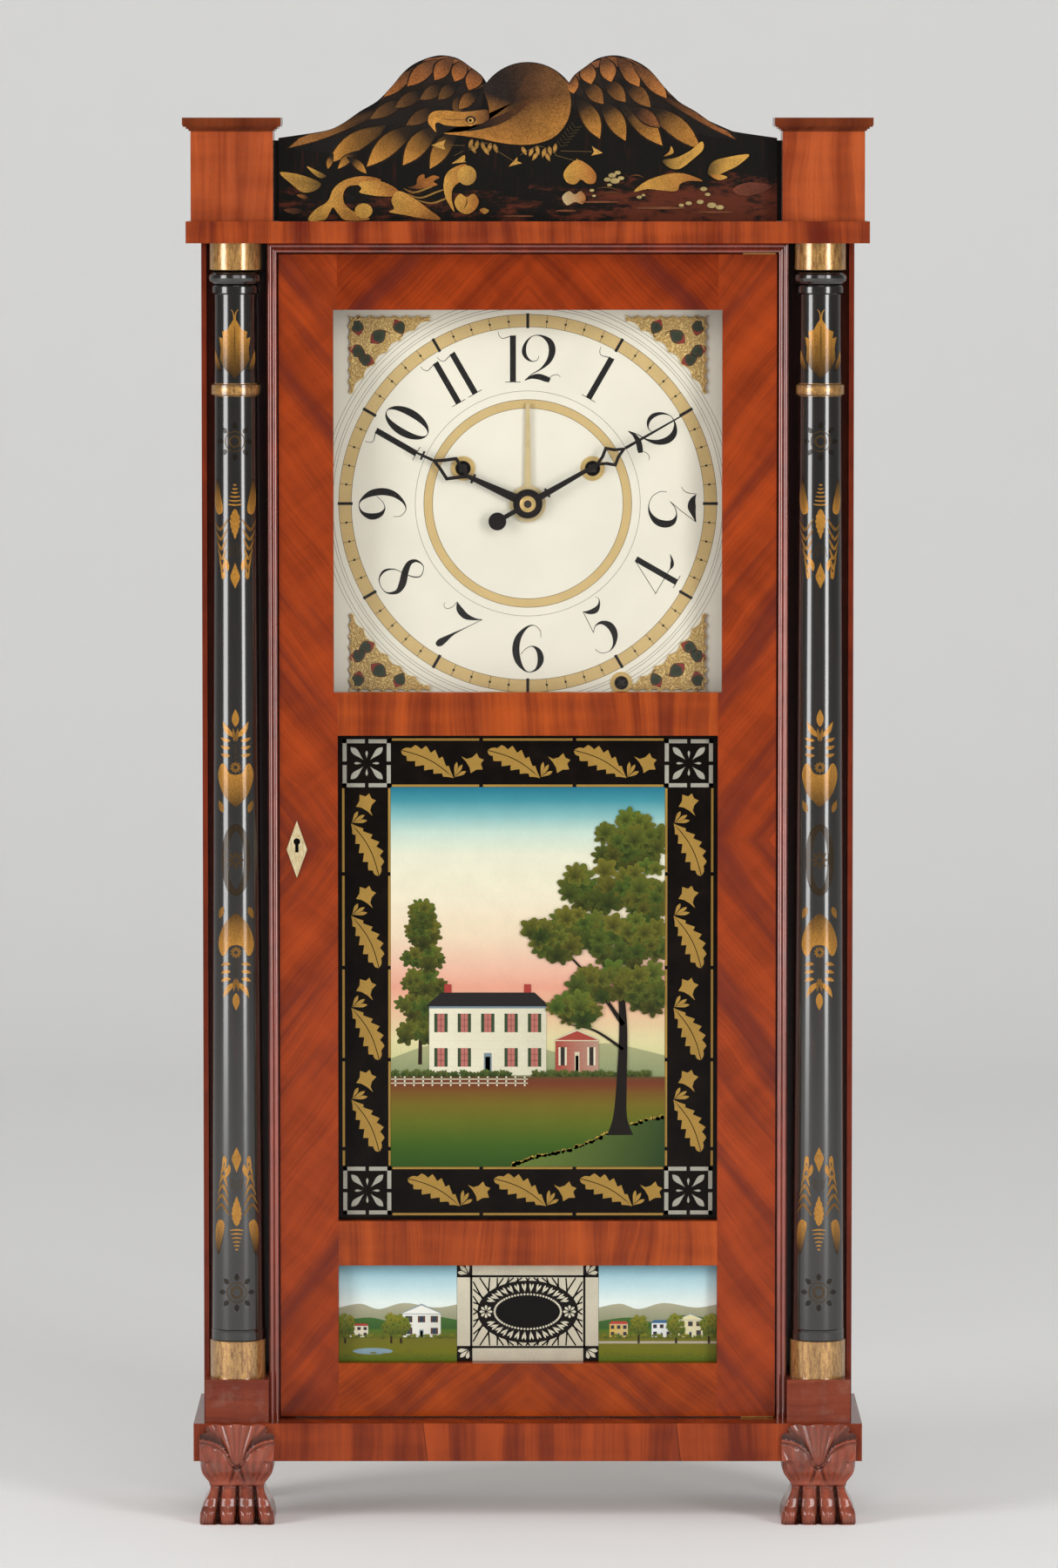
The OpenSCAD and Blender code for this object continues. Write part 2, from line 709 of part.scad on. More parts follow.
module door_stile(cuts_lock) {
    difference() {
        board(-x_door, -x_open, y_door, y_door_back, door_z0, door_z1);
        board(-x_open - dial_relief, -x_open + 1, y_door - 1, y_door_back + 1, dial_z0, dial_z1);
        board(-x_open - rebate_w, -x_open + 1, y_glass, y_door_back + 1, lower_z0 - rebate_w, lower_z1 + rebate_w);
        board(-x_open - rebate_w, -x_open + 1, y_glass, y_door_back + 1,
              picture_z0 - rebate_w, picture_z1 + rebate_w);
        board(-x_open - dial_relief - rebate_w, -x_open + 1, y_glass, y_door_back + 1,
              dial_z0 - rebate_w, dial_z1 + rebate_w);
        if (cuts_lock) {
            board(lock_x - lock_w / 2 + 6, lock_x + lock_w / 2 + 6, y_door_back - lock_t, y_door_back + 1,
                  lock_z - lock_h / 2, lock_z + lock_h / 2);
            board(-x_door - 1, lock_x, bolt_y - bolt_slack, bolt_y + bolt_t + bolt_slack,
                  lock_z - bolt_h / 2 - bolt_slack, lock_z + bolt_h / 2 + bolt_slack);
            translate([lock_x, 0, keyhole_z]) rod(2.4, y_door - 1, y_door + door_t / 2 + 2);
            board(lock_x - 1.4, lock_x + 1.4, y_door - 1, y_door + door_t / 2 + 2, keyhole_z - 8, keyhole_z);
        }
    }
}

module door_stile_left() {
    color(mahogany) door_stile(true);
}

module door_stile_right() {
    color(mahogany) mirror([1, 0, 0]) door_stile(false);
}

// A door rail between the stiles, rebated along the edges that hold glass
module door_rail(z0, z1, below, above) {
    difference() {
        board(-x_open, x_open, y_door, y_door_back, z0, z1);
        if (below) board(-x_open - 1, x_open + 1, y_glass, y_door_back + 1, z0 - 1, z0 + rebate_w);
        if (above) board(-x_open - 1, x_open + 1, y_glass, y_door_back + 1, z1 - rebate_w, z1 + 1);
    }
}

module door_rail_top() {
    color(mahogany) door_rail(dial_z1, door_z1, true, false);
}

module door_rails_middle() {
    color(mahogany) {
        door_rail(picture_z1, dial_z0, true, true);
        door_rail(lower_z1, picture_z0, true, true);
    }
}

module door_rail_bottom() {
    color(mahogany) door_rail(door_z0, lower_z0, false, true);
}

module pane(half_w, z0, z1) {
    over = rebate_w - 0.5;
    board(-half_w - over, half_w + over, y_glass, y_glass + glass_t, z0 - over, z1 + over);
}

module dial_glass() {
    color("lightblue", 0.3) pane(x_open + dial_relief, dial_z0, dial_z1);
}

module picture_tablet() {
    color("#24201c") pane(x_open, picture_z0, picture_z1);
}

module lower_tablet() {
    color("#24201c") pane(x_open, lower_z0, lower_z1);
}

// Bone diamond with its keyhole, laid on the left stile
module escutcheon() {
    w = escutcheon_w / 2;
    h = escutcheon_h / 2;
    color(bone) difference() {
        translate([lock_x, 0, lock_z]) front_shape(y_door - 1, y_door)
            polygon([[0, -h], [w, 0], [0, h], [-w, 0]]);
        translate([lock_x, 0, keyhole_z]) rod(2.2, y_door - 2, y_door + 1);
        board(lock_x - 1.1, lock_x + 1.1, y_door - 2, y_door + 1, keyhole_z - 7, keyhole_z);
    }
}

module lock_case() {
    color(brass) difference() {
        board(lock_x - lock_w / 2 + 6, lock_x + lock_w / 2 + 6, y_door_back - lock_t, y_door_back,
              lock_z - lock_h / 2, lock_z + lock_h / 2);
        board(lock_x - lock_w, -bolt_x + bolt_len + 1, bolt_y - bolt_slack, bolt_y + bolt_t + bolt_slack,
              lock_z - bolt_h / 2 - bolt_slack, lock_z + bolt_h / 2 + bolt_slack);
    }
}

module lock_bolt() {
    color(brass) board(-bolt_x, -bolt_x + bolt_len, bolt_y, bolt_y + bolt_t,
                       lock_z - bolt_h / 2, lock_z + bolt_h / 2);
}

// Pivot plates on the top and bottom edges of the door, each with its pin
module door_hinges() {
    l = hinge_plate[0];
    w = hinge_plate[1];
    t = hinge_plate[2];
    color(brass) {
        board(x_door - l, x_door - 1, y_door, y_door + w, door_z1, door_z1 + t);
        translate([hinge_x, hinge_y, door_z1]) cylinder(d = hinge_pin_dia, h = hinge_pin_len, $fn = fine);
        board(x_door - l, x_door - 1, y_door, y_door + w, door_z0 - t, door_z0);
        translate([hinge_x, hinge_y, door_z0 - hinge_pin_len])
            cylinder(d = hinge_pin_dia, h = hinge_pin_len, $fn = fine);
    }
}

// A pierced hand pointing up: tail or boss, bar, cross, open diamond, second cross and needle
module hand_outline(boss, bar_w, bar_tip_w, cross1, gem0, gem1, gem_w, cross2, tip) {
    gem_mid = (gem0 + gem1) / 2;
    difference() {
        union() {
            circle(r = boss, $fn = fine);
            polygon([[-bar_w / 2, 0], [bar_w / 2, 0], [bar_tip_w / 2, gem0 + 1], [-bar_tip_w / 2, gem0 + 1]]);
            translate([-3.2, cross1 - 0.8]) square([6.4, 1.6]);
            polygon([[0, gem0 - 1], [gem_w * 0.22, gem0 + 6], [gem_w / 2, gem_mid], [gem_w * 0.22, gem1 - 6],
                     [0, gem1 + 1], [-gem_w * 0.22, gem1 - 6], [-gem_w / 2, gem_mid],
                     [-gem_w * 0.22, gem0 + 6]]);
            translate([-3, cross2 - 0.7]) square([6, 1.4]);
            polygon([[-1, gem1], [1, gem1], [0.9, cross2], [0.35, tip], [-0.35, tip], [-0.9, cross2]]);
        }
        polygon([[0, gem0 + 3.5], [gem_w * 0.12, gem0 + 7.5], [gem_w / 2 - 2.6, gem_mid],
                 [gem_w * 0.12, gem1 - 7.5], [0, gem1 - 3.5], [-gem_w * 0.12, gem1 - 7.5],
                 [-gem_w / 2 + 2.6, gem_mid], [-gem_w * 0.12, gem0 + 7.5]]);
    }
}

module minute_hand() {
    color(steel_blue) difference() {
        at(centre_at) rotate([0, minute_turn, 0]) front_shape(y_minute_hand, y_minute_hand + hand_t) {
            hand_outline(7.5, 4.6, 2.4, 14.6, 50.6, 73, 15, 83, minute_len);
            translate([0, -22.7]) circle(r = 5.8, $fn = fine);
            translate([-1.5, -20]) square([3, 18]);
        }
        at(centre_at) rod(arbor_r + 0.02, y_minute_hand - 1, y_minute_hand + 2);
    }
}

module hour_hand() {
    color(steel_blue) difference() {
        at(centre_at) rotate([0, hour_turn, 0]) front_shape(y_hour_hand, y_hour_hand + hand_t)
            hand_outline(9.5, 6.4, 3, 39, 41, 68, 17, 75, hour_len);
        at(centre_at) rod(pipe_r - 0.5 + 0.02, y_hour_hand - 1, y_hour_hand + 2);
    }
}

module hand_nut() {
    color(brass) difference() {
        at(centre_at) translate([0, y_minute_hand, 0]) rotate([90, 0, 0]) rotate_extrude($fn = fine)
            polygon([[0, 0], [5.2, 0], [5.2, 1], [3.8, 2], [3.4, 2.6], [0, 2.6]]);
        at(centre_at) rod(arbor_r + 0.02, y_nut - 1, y_minute_hand + 1);
    }
}

// Brass setting disc of the alarm, with its tapered pointer
module alarm_hand() {
    color(brass) difference() {
        at(centre_at) front_shape(y_alarm_hand, y_alarm_hand + hand_t) {
            circle(r = 11.8, $fn = 64);
            polygon([[-2.4, 0], [2.4, 0], [1.25, alarm_len], [-1.25, alarm_len]]);
        }
        at(centre_at) rod(pipe_r + run, y_alarm_hand - 1, y_alarm_hand + 2);
    }
}

// Plate outline with a bored hole for every arbor that runs in it
module plate(y0, y1) {
    difference() {
        board(-plate_half_w, plate_half_w, y0, y1, dial_z + plate_low, dial_z + plate_high);
        at(centre_at) rod(arbor_r + run, y0 - 1, y1 + 1);
        for (p = [great_at, strike_at]) at(p) rod(winding_r + run, y0 - 1, y1 + 1);
        for (p = [third_at, escape_at, pin_at, hammer_at, alarm_hammer_at])
            at(p) rod(stud_r + run, y0 - 1, y1 + 1);
        at(alarm_at) rod(alarm_arbor_r + run, y0 - 1, y1 + 1);
    }
}

// Front plate with the hole of the verge, the stud of the pendulum and that of the motion work
module front_plate() {
    color(cherry) {
        difference() {
            plate(y_front, y_plate1);
            at(verge_at) rod(stud_r + run, y_front - 1, y_plate1 + 1);
        }
        at(stud_at) rod(stud_r, pendulum_y - 3, y_front);
        at(minute_at) rod(stud_r, y_dial_back + 1, y_front);
    }
}

// Back plate with its four pillars, which reach the front plate
module back_plate() {
    color(cherry) {
        plate(y_plate2, y_inside);
        for (x = [-pillar_x, pillar_x], z = [pillar_low, pillar_high])
            at([x, z]) rod(pillar_r, y_plate1, y_plate2);
    }
}

// Domed bell, mouth to the back, held between two nuts on an iron post
module bell() {
    r = bell_dia / 2;
    d = bell_depth;
    w = bell_wall;
    flat = 8;
    post = 4;
    nut_t = 3;
    gap = 0.1;
    outside = [[r, 0], [r - 0.5, d * 0.2], [r * 0.9, d * 0.5], [r * 0.68, d * 0.78], [r * 0.36, d * 0.95],
               [flat, d], [post + gap, d]];
    inside = [[post + gap, d - w], [flat, d - w], [r * 0.36 - w * 0.3, d * 0.95 - w],
              [r * 0.68 - w * 0.7, d * 0.78 - w * 0.8], [r * 0.9 - w, d * 0.5 - w * 0.5],
              [r - 0.5 - w, d * 0.2], [r - w, 0]];
    color(iron) at(bell_at) {
        translate([0, bell_y, 0]) rotate([90, 0, 0]) rotate_extrude($fn = 96)
            polygon(concat(outside, inside));
        rod(post, bell_y - d - nut_t - 2, y_inside);
        rod(flat - 1.5, bell_y - d - nut_t - gap, bell_y - d - gap);
        rod(flat - 1.5, bell_y - d + w + gap, bell_y - d + w + gap + nut_t);
    }
}

// Fixed stretch of each weight cord: round the drum, up to its pulley and over it. The route is a
// list of [wheel centre, angle on that wheel], and the tube has eight sides
module cord_lead(drum_at, y) {
    drum = [drum_at[0], dial_z + drum_at[1]];
    pulley = [pulley_x, pulley_z];
    side = heading(drum, pulley) + 90;
    wrap = 200;
    route = concat([for (i = [0:12]) [drum, side + wrap * (1 - i / 12)]],
                   [for (i = [0:9]) [pulley, side * (1 - i / 9)]]);
    sides = 8;
    rings = len(route);
    points = [for (stop = route, k = [0:sides - 1])
        let (r = wrap_r + cord_r * cos(k * 360 / sides), at = stop[0] + r * [cos(stop[1]), sin(stop[1])])
            [at[0], y + cord_r * sin(k * 360 / sides), at[1]]];
    walls = [for (i = [0:rings - 2], k = [0:sides - 1])
        let (a = i * sides + k, b = i * sides + (k + 1) % sides)
            each [[a, b, b + sides], [a, b + sides, a + sides]]];
    first = [for (k = [sides - 1:-1:0]) k];
    last = [for (k = [0:sides - 1]) (rings - 1) * sides + k];
    polyhedron(points, concat([first], walls, [last]));
}

module cord_leads() {
    color("#d8cba8") {
        cord_lead(great_at, weight_y);
        mirror([1, 0, 0]) cord_lead([wind_x, wind_z], strike_cord_y);
    }
}

// Winding arbor with its drum, ratchet and square
module winding_drum(y_drum, drum_w, ratchet_y) {
    rod(winding_r, y_front - 6, y_inside - 1);
    translate([0, y_dial + 2, 0]) translate([-2.6, 0, -2.6]) cube([5.2, y_front - 6 - y_dial - 2, 5.2]);
    rod(drum_r, y_drum - drum_w / 2, y_drum + drum_w / 2);
    front_shape(ratchet_y, ratchet_y + 1.8) polygon(ratchet(20, drum_r + 4, 2.5));
}

module time_drum() {
    color(cherry) at(great_at) winding_drum(weight_y, 12, y_plate1 + 22.6);
}

module strike_drum() {
    color(cherry) at(strike_at) winding_drum(strike_cord_y, 8, y_plate1 + 22.6);
}

// Great wheel, loose on the winding arbor
module great_wheel() {
    color(cherry) difference() {
        at(great_at) wheel(great_teeth, great_module, great_at, centre_at, y_gear + 24.8, y_gear + 29.8);
        at(great_at) rod(winding_r + run, y_gear, y_inside);
    }
}

module strike_wheel() {
    color(cherry) difference() {
        at(strike_at) wheel(strike_teeth, strike_module, strike_at, pin_at, y_gear + 24.8, y_gear + 29.8);
        at(strike_at) rod(winding_r + run, y_gear, y_inside);
    }
}

// Centre arbor with its pinion, its wheel and the cannon pinion of the motion work
module centre_wheel() {
    color(cherry) at(centre_at) {
        rod(arbor_r, y_nut, y_inside - 1);
        pinion(centre_leaves, great_module, great_at, centre_at, y_gear + 24.5, y_gear + 30.1);
        wheel(centre_wheel_teeth, centre_module, centre_at, third_at, y_gear + 1.5, y_gear + 5);
        wheel(cannon_leaves, minute_module, centre_at, minute_at, y_front - 12.4, y_front - 10);
    }
}

module third_wheel() {
    color(cherry) at(third_at) {
        rod(stud_r, y_front + 1, y_inside - 1);
        pinion(third_leaves, centre_module, centre_at, third_at, y_gear + 1.2, y_gear + 5.3);
        wheel(third_wheel_teeth, third_module, third_at, escape_at, y_gear + 9.5, y_gear + 12.5);
    }
}

module escape_wheel() {
    color(brass) at(escape_at) {
        rod(stud_r, y_front - 5, y_inside - 1);
        pinion(escape_leaves, third_module, third_at, escape_at, y_gear + 9.2, y_gear + 12.8);
        front_shape(y_front - 4, y_front - 2.5) polygon(ratchet(escape_teeth, escape_r, 3));
    }
}

// Minute wheel of the motion work, loose on its stud
module minute_wheel() {
    color(cherry) difference() {
        at(minute_at) union() {
            front_shape(y_front - 12.6, y_front - 10)
                polygon(toothed(minute_teeth, minute_module, heading(minute_at, centre_at) + 180 / minute_teeth,
                                0.85 * minute_module, 1.35 * minute_module, 0.36));
            wheel(minute_leaves, hour_module, minute_at, centre_at, y_front - 16.6, y_front - 12.6);
        }
        at(minute_at) rod(stud_r + run, y_dial, y_front);
    }
}

// Hour wheel with the pipe that carries the hour hand and the alarm disc
module hour_wheel() {
    hand_seat = y_hour_hand + hand_t;
    color(brass) difference() {
        at(centre_at) {
            rod(pipe_r, hand_seat, y_front - 16.4);
            rod(pipe_r - 0.5, y_hour_hand - 0.4, hand_seat);
            front_shape(y_front - 16.4, y_front - 13.4)
                polygon(toothed(hour_teeth, hour_module, heading(centre_at, minute_at) + 180 / hour_teeth,
                                0.85 * hour_module, 1.35 * hour_module, 0.36));
        }
        at(centre_at) rod(arbor_r + run, y_nut, y_front);
    }
}

// Recoil anchor on its arbor, with the crutch that straddles the pendulum rod
module verge() {
    down = escape_at - verge_at;
    spread = 34;
    tip_r = escape_r + 1.6;
    color(iron) at(verge_at) {
        rod(stud_r, pendulum_y + 1.4, y_plate1 - 1);
        front_shape(y_front - 4.2, y_front - 2.2) difference() {
            union() {
                polygon(concat([for (p = arc([0, 0], 5, 20, 160, 8)) p],
                               [down + (tip_r + 5) * [-sin(spread), cos(spread)],
                                down + tip_r * [-sin(spread), cos(spread)]],
                               [for (p = arc(down, tip_r + 2.4, 90 + spread - 8, 90 - spread + 8, 8)) p],
                               [down + tip_r * [sin(spread), cos(spread)],
                                down + (tip_r + 5) * [sin(spread), cos(spread)]]));
            }
            circle(r = stud_r - 0.4, $fn = fine);
        }
        translate([-1.6, pendulum_y + 1.4, -crutch_len]) cube([3.2, 1, crutch_len]);
        for (x = [-rod_r - 1.7, rod_r + 0.3]) translate([x, pendulum_y - 2, -crutch_len - 3])
            cube([1.4, 4.4, 6]);
    }
}

// Pendulum rod hung by its eye on the stud
module pendulum_rod() {
    color(iron) at(stud_at) {
        difference() {
            rod(4, pendulum_y - 1, pendulum_y + 1);
            rod(stud_r + run, pendulum_y - 2, pendulum_y + 2);
        }
        translate([0, pendulum_y, -pendulum_len - bob_dia / 2 - 8])
            cylinder(r = rod_r, h = pendulum_len + bob_dia / 2 + 8 - 3, $fn = 24);
    }
}

// Lenticular brass bob with its rating nut under it
module pendulum_bob() {
    r = bob_dia / 2;
    rim = 1;
    t = 5;
    color(brass) at(stud_at - [0, pendulum_len]) translate([0, pendulum_y, 0]) {
        difference() {
            rotate([90, 0, 0]) rotate_extrude($fn = 64)
                polygon([[0, -t], [r * 0.45, -t * 0.84], [r * 0.8, -t * 0.48], [r - 0.6, -rim],
                         [r - 0.6, rim], [r * 0.8, t * 0.48], [r * 0.45, t * 0.84], [0, t]]);
            translate([0, 0, -r - 1]) cylinder(r = rod_r + 0.05, h = 2 * r + 2, $fn = 24);
        }
        translate([0, 0, -r - 4]) difference() {
            cylinder(r = 3.2, h = 3.4, $fn = 32);
            translate([0, 0, -1]) cylinder(r = rod_r + 0.05, h = 6, $fn = 24);
        }
    }
}

// Cast iron weight with chamfered corners and a wire hook
module weight(y) {
    h = weight_w / 2;
    c = 4;
    hook_z = weight_z0 + weight_h + 3 + hook_r;
    translate([weight_x, y, 0]) {
        translate([0, 0, weight_z0]) linear_extrude(weight_h)
            polygon([[h, c - h], [h, h - c], [h - c, h], [c - h, h], [-h, h - c], [-h, c - h], [c - h, -h],
                     [h - c, -h]]);
        translate([0, 0, weight_z0 + weight_h]) cylinder(r = 2.2, h = 5, $fn = 24);
        translate([0, 0, hook_z]) rotate([90, 0, 0]) rotate_extrude($fn = fine)
            translate([hook_r, 0]) circle(r = hook_wire_r, $fn = 24);
    }
}

module time_weight() {
    color(iron) weight(weight_y);
}

module strike_weight() {
    color(iron) mirror([1, 0, 0]) weight(strike_cord_y);
}

// Hanging stretch of a weight cord, from the hook to the side of its pulley
module hanging_cord(y) {
    translate([weight_x, y, hook_top]) cylinder(r = cord_r, h = pulley_z - hook_top, $fn = 24);
}

module time_cord() {
    color("#d8cba8") hanging_cord(weight_y);
}

module strike_cord() {
    color("#d8cba8") mirror([1, 0, 0]) hanging_cord(strike_cord_y);
}

// Grooved wooden pulley on its axle
module pulley(y) {
    h = pulley_w / 2;
    translate([pulley_x, y, pulley_z]) rotate([90, 0, 0]) rotate_extrude($fn = 64)
        polygon([[0, -h - 6], [2, -h - 6], [2, -h], [wrap_r + 1.5, -h], [wrap_r + 1.5, 1 - h],
                 [drum_r, -1.3], [drum_r, 1.3], [wrap_r + 1.5, h - 1], [wrap_r + 1.5, h], [2, h],
                 [2, h + 6], [0, h + 6]]);
}

module time_pulley() {
    color(cherry) pulley(weight_y);
}

module strike_pulley() {
    color(cherry) mirror([1, 0, 0]) pulley(strike_cord_y);
}

// Pin wheel of the strike train: its pins stand just clear of the hammer's tail
module pin_wheel() {
    color(cherry) at(pin_at) {
        rod(stud_r, y_front + 1, y_inside - 1);
        pinion(pin_leaves, strike_module, strike_at, pin_at, y_gear + 24.5, y_gear + 30.1);
        rod(pin_wheel_r, y_gear + 12.5, y_gear + 15.5);
        for (i = [0:7]) translate([(pin_wheel_r - 3) * cos(i * 45), 0, (pin_wheel_r - 3) * sin(i * 45)])
            rod(1, y_gear + 15.5, y_gear + 19.5);
    }
}

// A hammer on its arbor: a wire hanging to the head, which rests near the bell's rim
module bell_hammer(place, head_x, tail) {
    head = [head_x, bell_at[1]];
    reach = head - place;
    drop = norm(reach);
    lean = atan2(-reach[0], -reach[1]);
    wire_y = y_inside - 13;
    at(place) {
        rod(stud_r, y_front + 1, y_plate2 + 2);
        rotate([0, lean, 0]) translate([0, wire_y, -drop]) cylinder(r = 1.1, h = drop, $fn = 24);
        if (tail > 0) translate([-1.2, y_gear + 15.8, 0]) cube([2.4, 3.4, tail]);
    }
    at(head) translate([-6, wire_y, 0]) rotate([0, 90, 0]) cylinder(r = 5, h = 12, $fn = 32);
}

module hammer() {
    color(iron) bell_hammer(hammer_at, bell_at[0] - bell_dia / 2 - 7.5, 34);
}

module alarm_drum() {
    color(cherry) at(alarm_at) {
        rod(alarm_arbor_r, y_front - 6, y_inside - 1);
        translate([0, y_dial + 2, 0]) translate([-2, 0, -2]) cube([4, y_front - 6 - y_dial - 2, 4]);
        rod(8, y_gear + 16, y_gear + 23);
        front_shape(y_gear + 7.5, y_gear + 10.5) polygon(ratchet(18, alarm_r, 2.5));
    }
}

module alarm_hammer() {
    color(iron) {
        bell_hammer(alarm_hammer_at, bell_at[0] + bell_dia / 2 + 7.5, 0);
        at(alarm_hammer_at) front_shape(y_gear + 7.7, y_gear + 10.3)
            polygon([[-3, 3.5], [3, 3.5], [9, -1], [8, -3], [1.5, -1.6], [-7, -5], [-8.5, -4]]);
    }
}

case_sides();
case_top();
case_bottom();
backboard();
front_stiles();
door_moulding();
cornice();
base_rail();
plinth_blocks();
splat();
column_left();
column_right();
column_blocks();
paw_feet();
rear_feet();
dial_board();
dial_spandrels();
dial_eyelets();
front_plate();
back_plate();
bell();
cord_leads();
door_stile_left();
door_stile_right();
door_rail_top();
door_rails_middle();
door_rail_bottom();
dial_glass();
picture_tablet();
lower_tablet();
escutcheon();
lock_case();
door_hinges();
lock_bolt();
minute_hand();
hand_nut();
hour_hand();
alarm_hand();
great_wheel();
time_drum();
centre_wheel();
minute_wheel();
hour_wheel();
third_wheel();
escape_wheel();
verge();
pendulum_rod();
pendulum_bob();
time_weight();
time_cord();
time_pulley();
strike_wheel();
strike_drum();
pin_wheel();
hammer();
strike_weight();
strike_cord();
strike_pulley();
alarm_drum();
alarm_hammer();
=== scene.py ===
"""Shelf clock with columns and a stencilled splat: finishes, painting, carving and stage."""
import math
import random

import bmesh
import bpy
import numpy as np
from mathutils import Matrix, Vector


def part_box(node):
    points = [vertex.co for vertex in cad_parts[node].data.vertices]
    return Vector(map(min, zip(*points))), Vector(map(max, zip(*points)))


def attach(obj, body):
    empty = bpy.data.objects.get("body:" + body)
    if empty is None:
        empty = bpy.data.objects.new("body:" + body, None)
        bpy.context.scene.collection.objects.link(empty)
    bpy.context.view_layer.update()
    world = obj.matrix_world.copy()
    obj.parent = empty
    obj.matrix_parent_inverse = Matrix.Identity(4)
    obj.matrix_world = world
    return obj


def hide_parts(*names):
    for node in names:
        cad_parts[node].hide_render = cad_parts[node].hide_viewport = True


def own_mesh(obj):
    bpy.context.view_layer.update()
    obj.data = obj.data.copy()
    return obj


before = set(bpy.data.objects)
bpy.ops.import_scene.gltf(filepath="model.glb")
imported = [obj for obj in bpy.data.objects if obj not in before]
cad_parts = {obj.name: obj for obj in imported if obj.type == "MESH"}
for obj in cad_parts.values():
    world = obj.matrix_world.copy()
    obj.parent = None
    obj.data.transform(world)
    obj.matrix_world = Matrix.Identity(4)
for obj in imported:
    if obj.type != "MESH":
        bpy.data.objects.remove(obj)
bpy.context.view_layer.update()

bl_info = {
    "name": "Column and splat shelf clock",
    "version": (1, 0, 0),
    "blender": (4, 5, 0),
    "location": "3D View > Sidebar > Shelf clock",
    "description": "Finishes, stencils, dial painting and carving for the shelf clock",
    "category": "Object",
}

# One millimetre in metres. Drawings are in millimetres, and their points run to the right and up
MM = 0.001
# How far one coat of paint stands off the last
COAT = 0.02
# Middle of the dial
DIAL = (0.0, 659.7)
# Colours that a mesh holds for its own paint, and on the carved feet their painted shade
TINTS = "paint"


def tone(colour):
    """Linear colour of a screen colour written as six hex digits. A linear colour comes back as it is."""
    if not isinstance(colour, str):
        return colour
    parts = [int(colour[i:i + 2], 16) / 255 for i in (0, 2, 4)]
    return tuple(p / 12.92 if p <= 0.04045 else ((p + 0.055) / 1.055) ** 2.4 for p in parts)


def between(a, b, share):
    """The number, point or colour that lies a share of the way from a to b."""
    if isinstance(a, (int, float)):
        return a + (b - a) * share
    return tuple(p + (q - p) * share for p, q in zip(tone(a), tone(b)))


# Sizes and colours that a user would change

def colour_property(name, description, code):
    """A colour that the panel shows."""
    return bpy.props.FloatVectorProperty(name=name, description=description, subtype="COLOR", size=3,
                                         min=0, max=1, default=tone(code))


def length_property(name, description, metres):
    """A length in metres that the panel shows."""
    return bpy.props.FloatProperty(name=name, description=description, default=metres, min=0,
                                   subtype="DISTANCE", unit="LENGTH")


class ClockWood(bpy.types.PropertyGroup):
    """Colours of the woods."""

    pale: colour_property("Bright mahogany", "Light bands of the polished veneer", "a54117")
    deep: colour_property("Deep mahogany", "Dark bands of the polished veneer", "702810")
    smoke: colour_property("Smoky streaks", "Soft violet brown streaks across the figure", "56201a")
    carved: colour_property("Carved feet", "Stained wood of the carved feet", "a5523a")
    pine: colour_property("Pine", "Aged unpainted pine of the back and the inside", "a9805a")
    cherry: colour_property("Movement wood", "Cherry and oak of the wooden movement", "9a6a3c")


class ClockPaint(bpy.types.PropertyGroup):
    """Colours of the painted and gilded parts."""

    cream: colour_property("Dial ground", "Aged cream paint of the dial", "e6e2d0")
    ink: colour_property("Dial black", "Black of the numerals", "1c1a19")
    ring: colour_property("Dial gold", "Flat gold of the minute ring", "cdb27a")
    black: colour_property("Case black", "Black paint of columns and splat", "14120f")
    gold: colour_property("Stencil gold", "Gold powder of the stencils", "b98236")
    gilt: colour_property("Spandrel gilt", "Raised gilt of the dial corners", "e2c37c")
    silver: colour_property("Tablet silver", "Silver leaf on the glass tablets", "a9a699")


class ClockMetal(bpy.types.PropertyGroup):
    """Colours of the metals."""

    brass: colour_property("Brass", "Polished old brass", "c49a52")
    iron: colour_property("Cast iron", "Weights and bell", "3b3734")
    blued: colour_property("Blued steel", "Hands", "2a2423")
    bone: colour_property("Bone", "Diamond escutcheon", "d8c9a4")


class ClockStage(bpy.types.PropertyGroup):
    """Camera, lamps and floor."""

    distance: length_property("Camera distance", "From the camera to the front of the case", 5.62)
    height: length_property("Camera height", "Height of the camera over the floor", 0.899)
    lens: bpy.props.FloatProperty(name="Lens", description="Focal length", default=200.0, min=10,
                                  subtype="DISTANCE_CAMERA", unit="CAMERA")
    tilt: bpy.props.FloatProperty(name="Camera tilt", description="How far the camera looks down",
                                  default=math.radians(4.27), subtype="ANGLE", unit="ROTATION")
    floor: colour_property("Floor", "Plain pale floor and backdrop", "f4f4f3")
    lamp: bpy.props.FloatProperty(name="Lamp power", description="Power of each tall lamp", default=62.0,
                                  min=0, subtype="POWER", unit="POWER")
    paper: bpy.props.FloatProperty(name="Paper", description="How much paler the paper looks to the camera",
                                   default=0.1, min=0, subtype="FACTOR")
    fill: bpy.props.FloatProperty(name="Fill", description="Strength of the even light all round",
                                  default=0.34, min=0, subtype="FACTOR")
    mirrored: bpy.props.FloatProperty(name="Mirrored fill", description="The even light as polish mirrors it",
                                      default=0.16, min=0, subtype="FACTOR")


def wood():
    """The woods as the panel has them."""
    return bpy.context.scene.clock_wood


def paint():
    """The paints as the panel has them."""
    return bpy.context.scene.clock_paint


def metal():
    """The metals as the panel has them."""
    return bpy.context.scene.clock_metal


# Materials: sums of sockets are written as Python

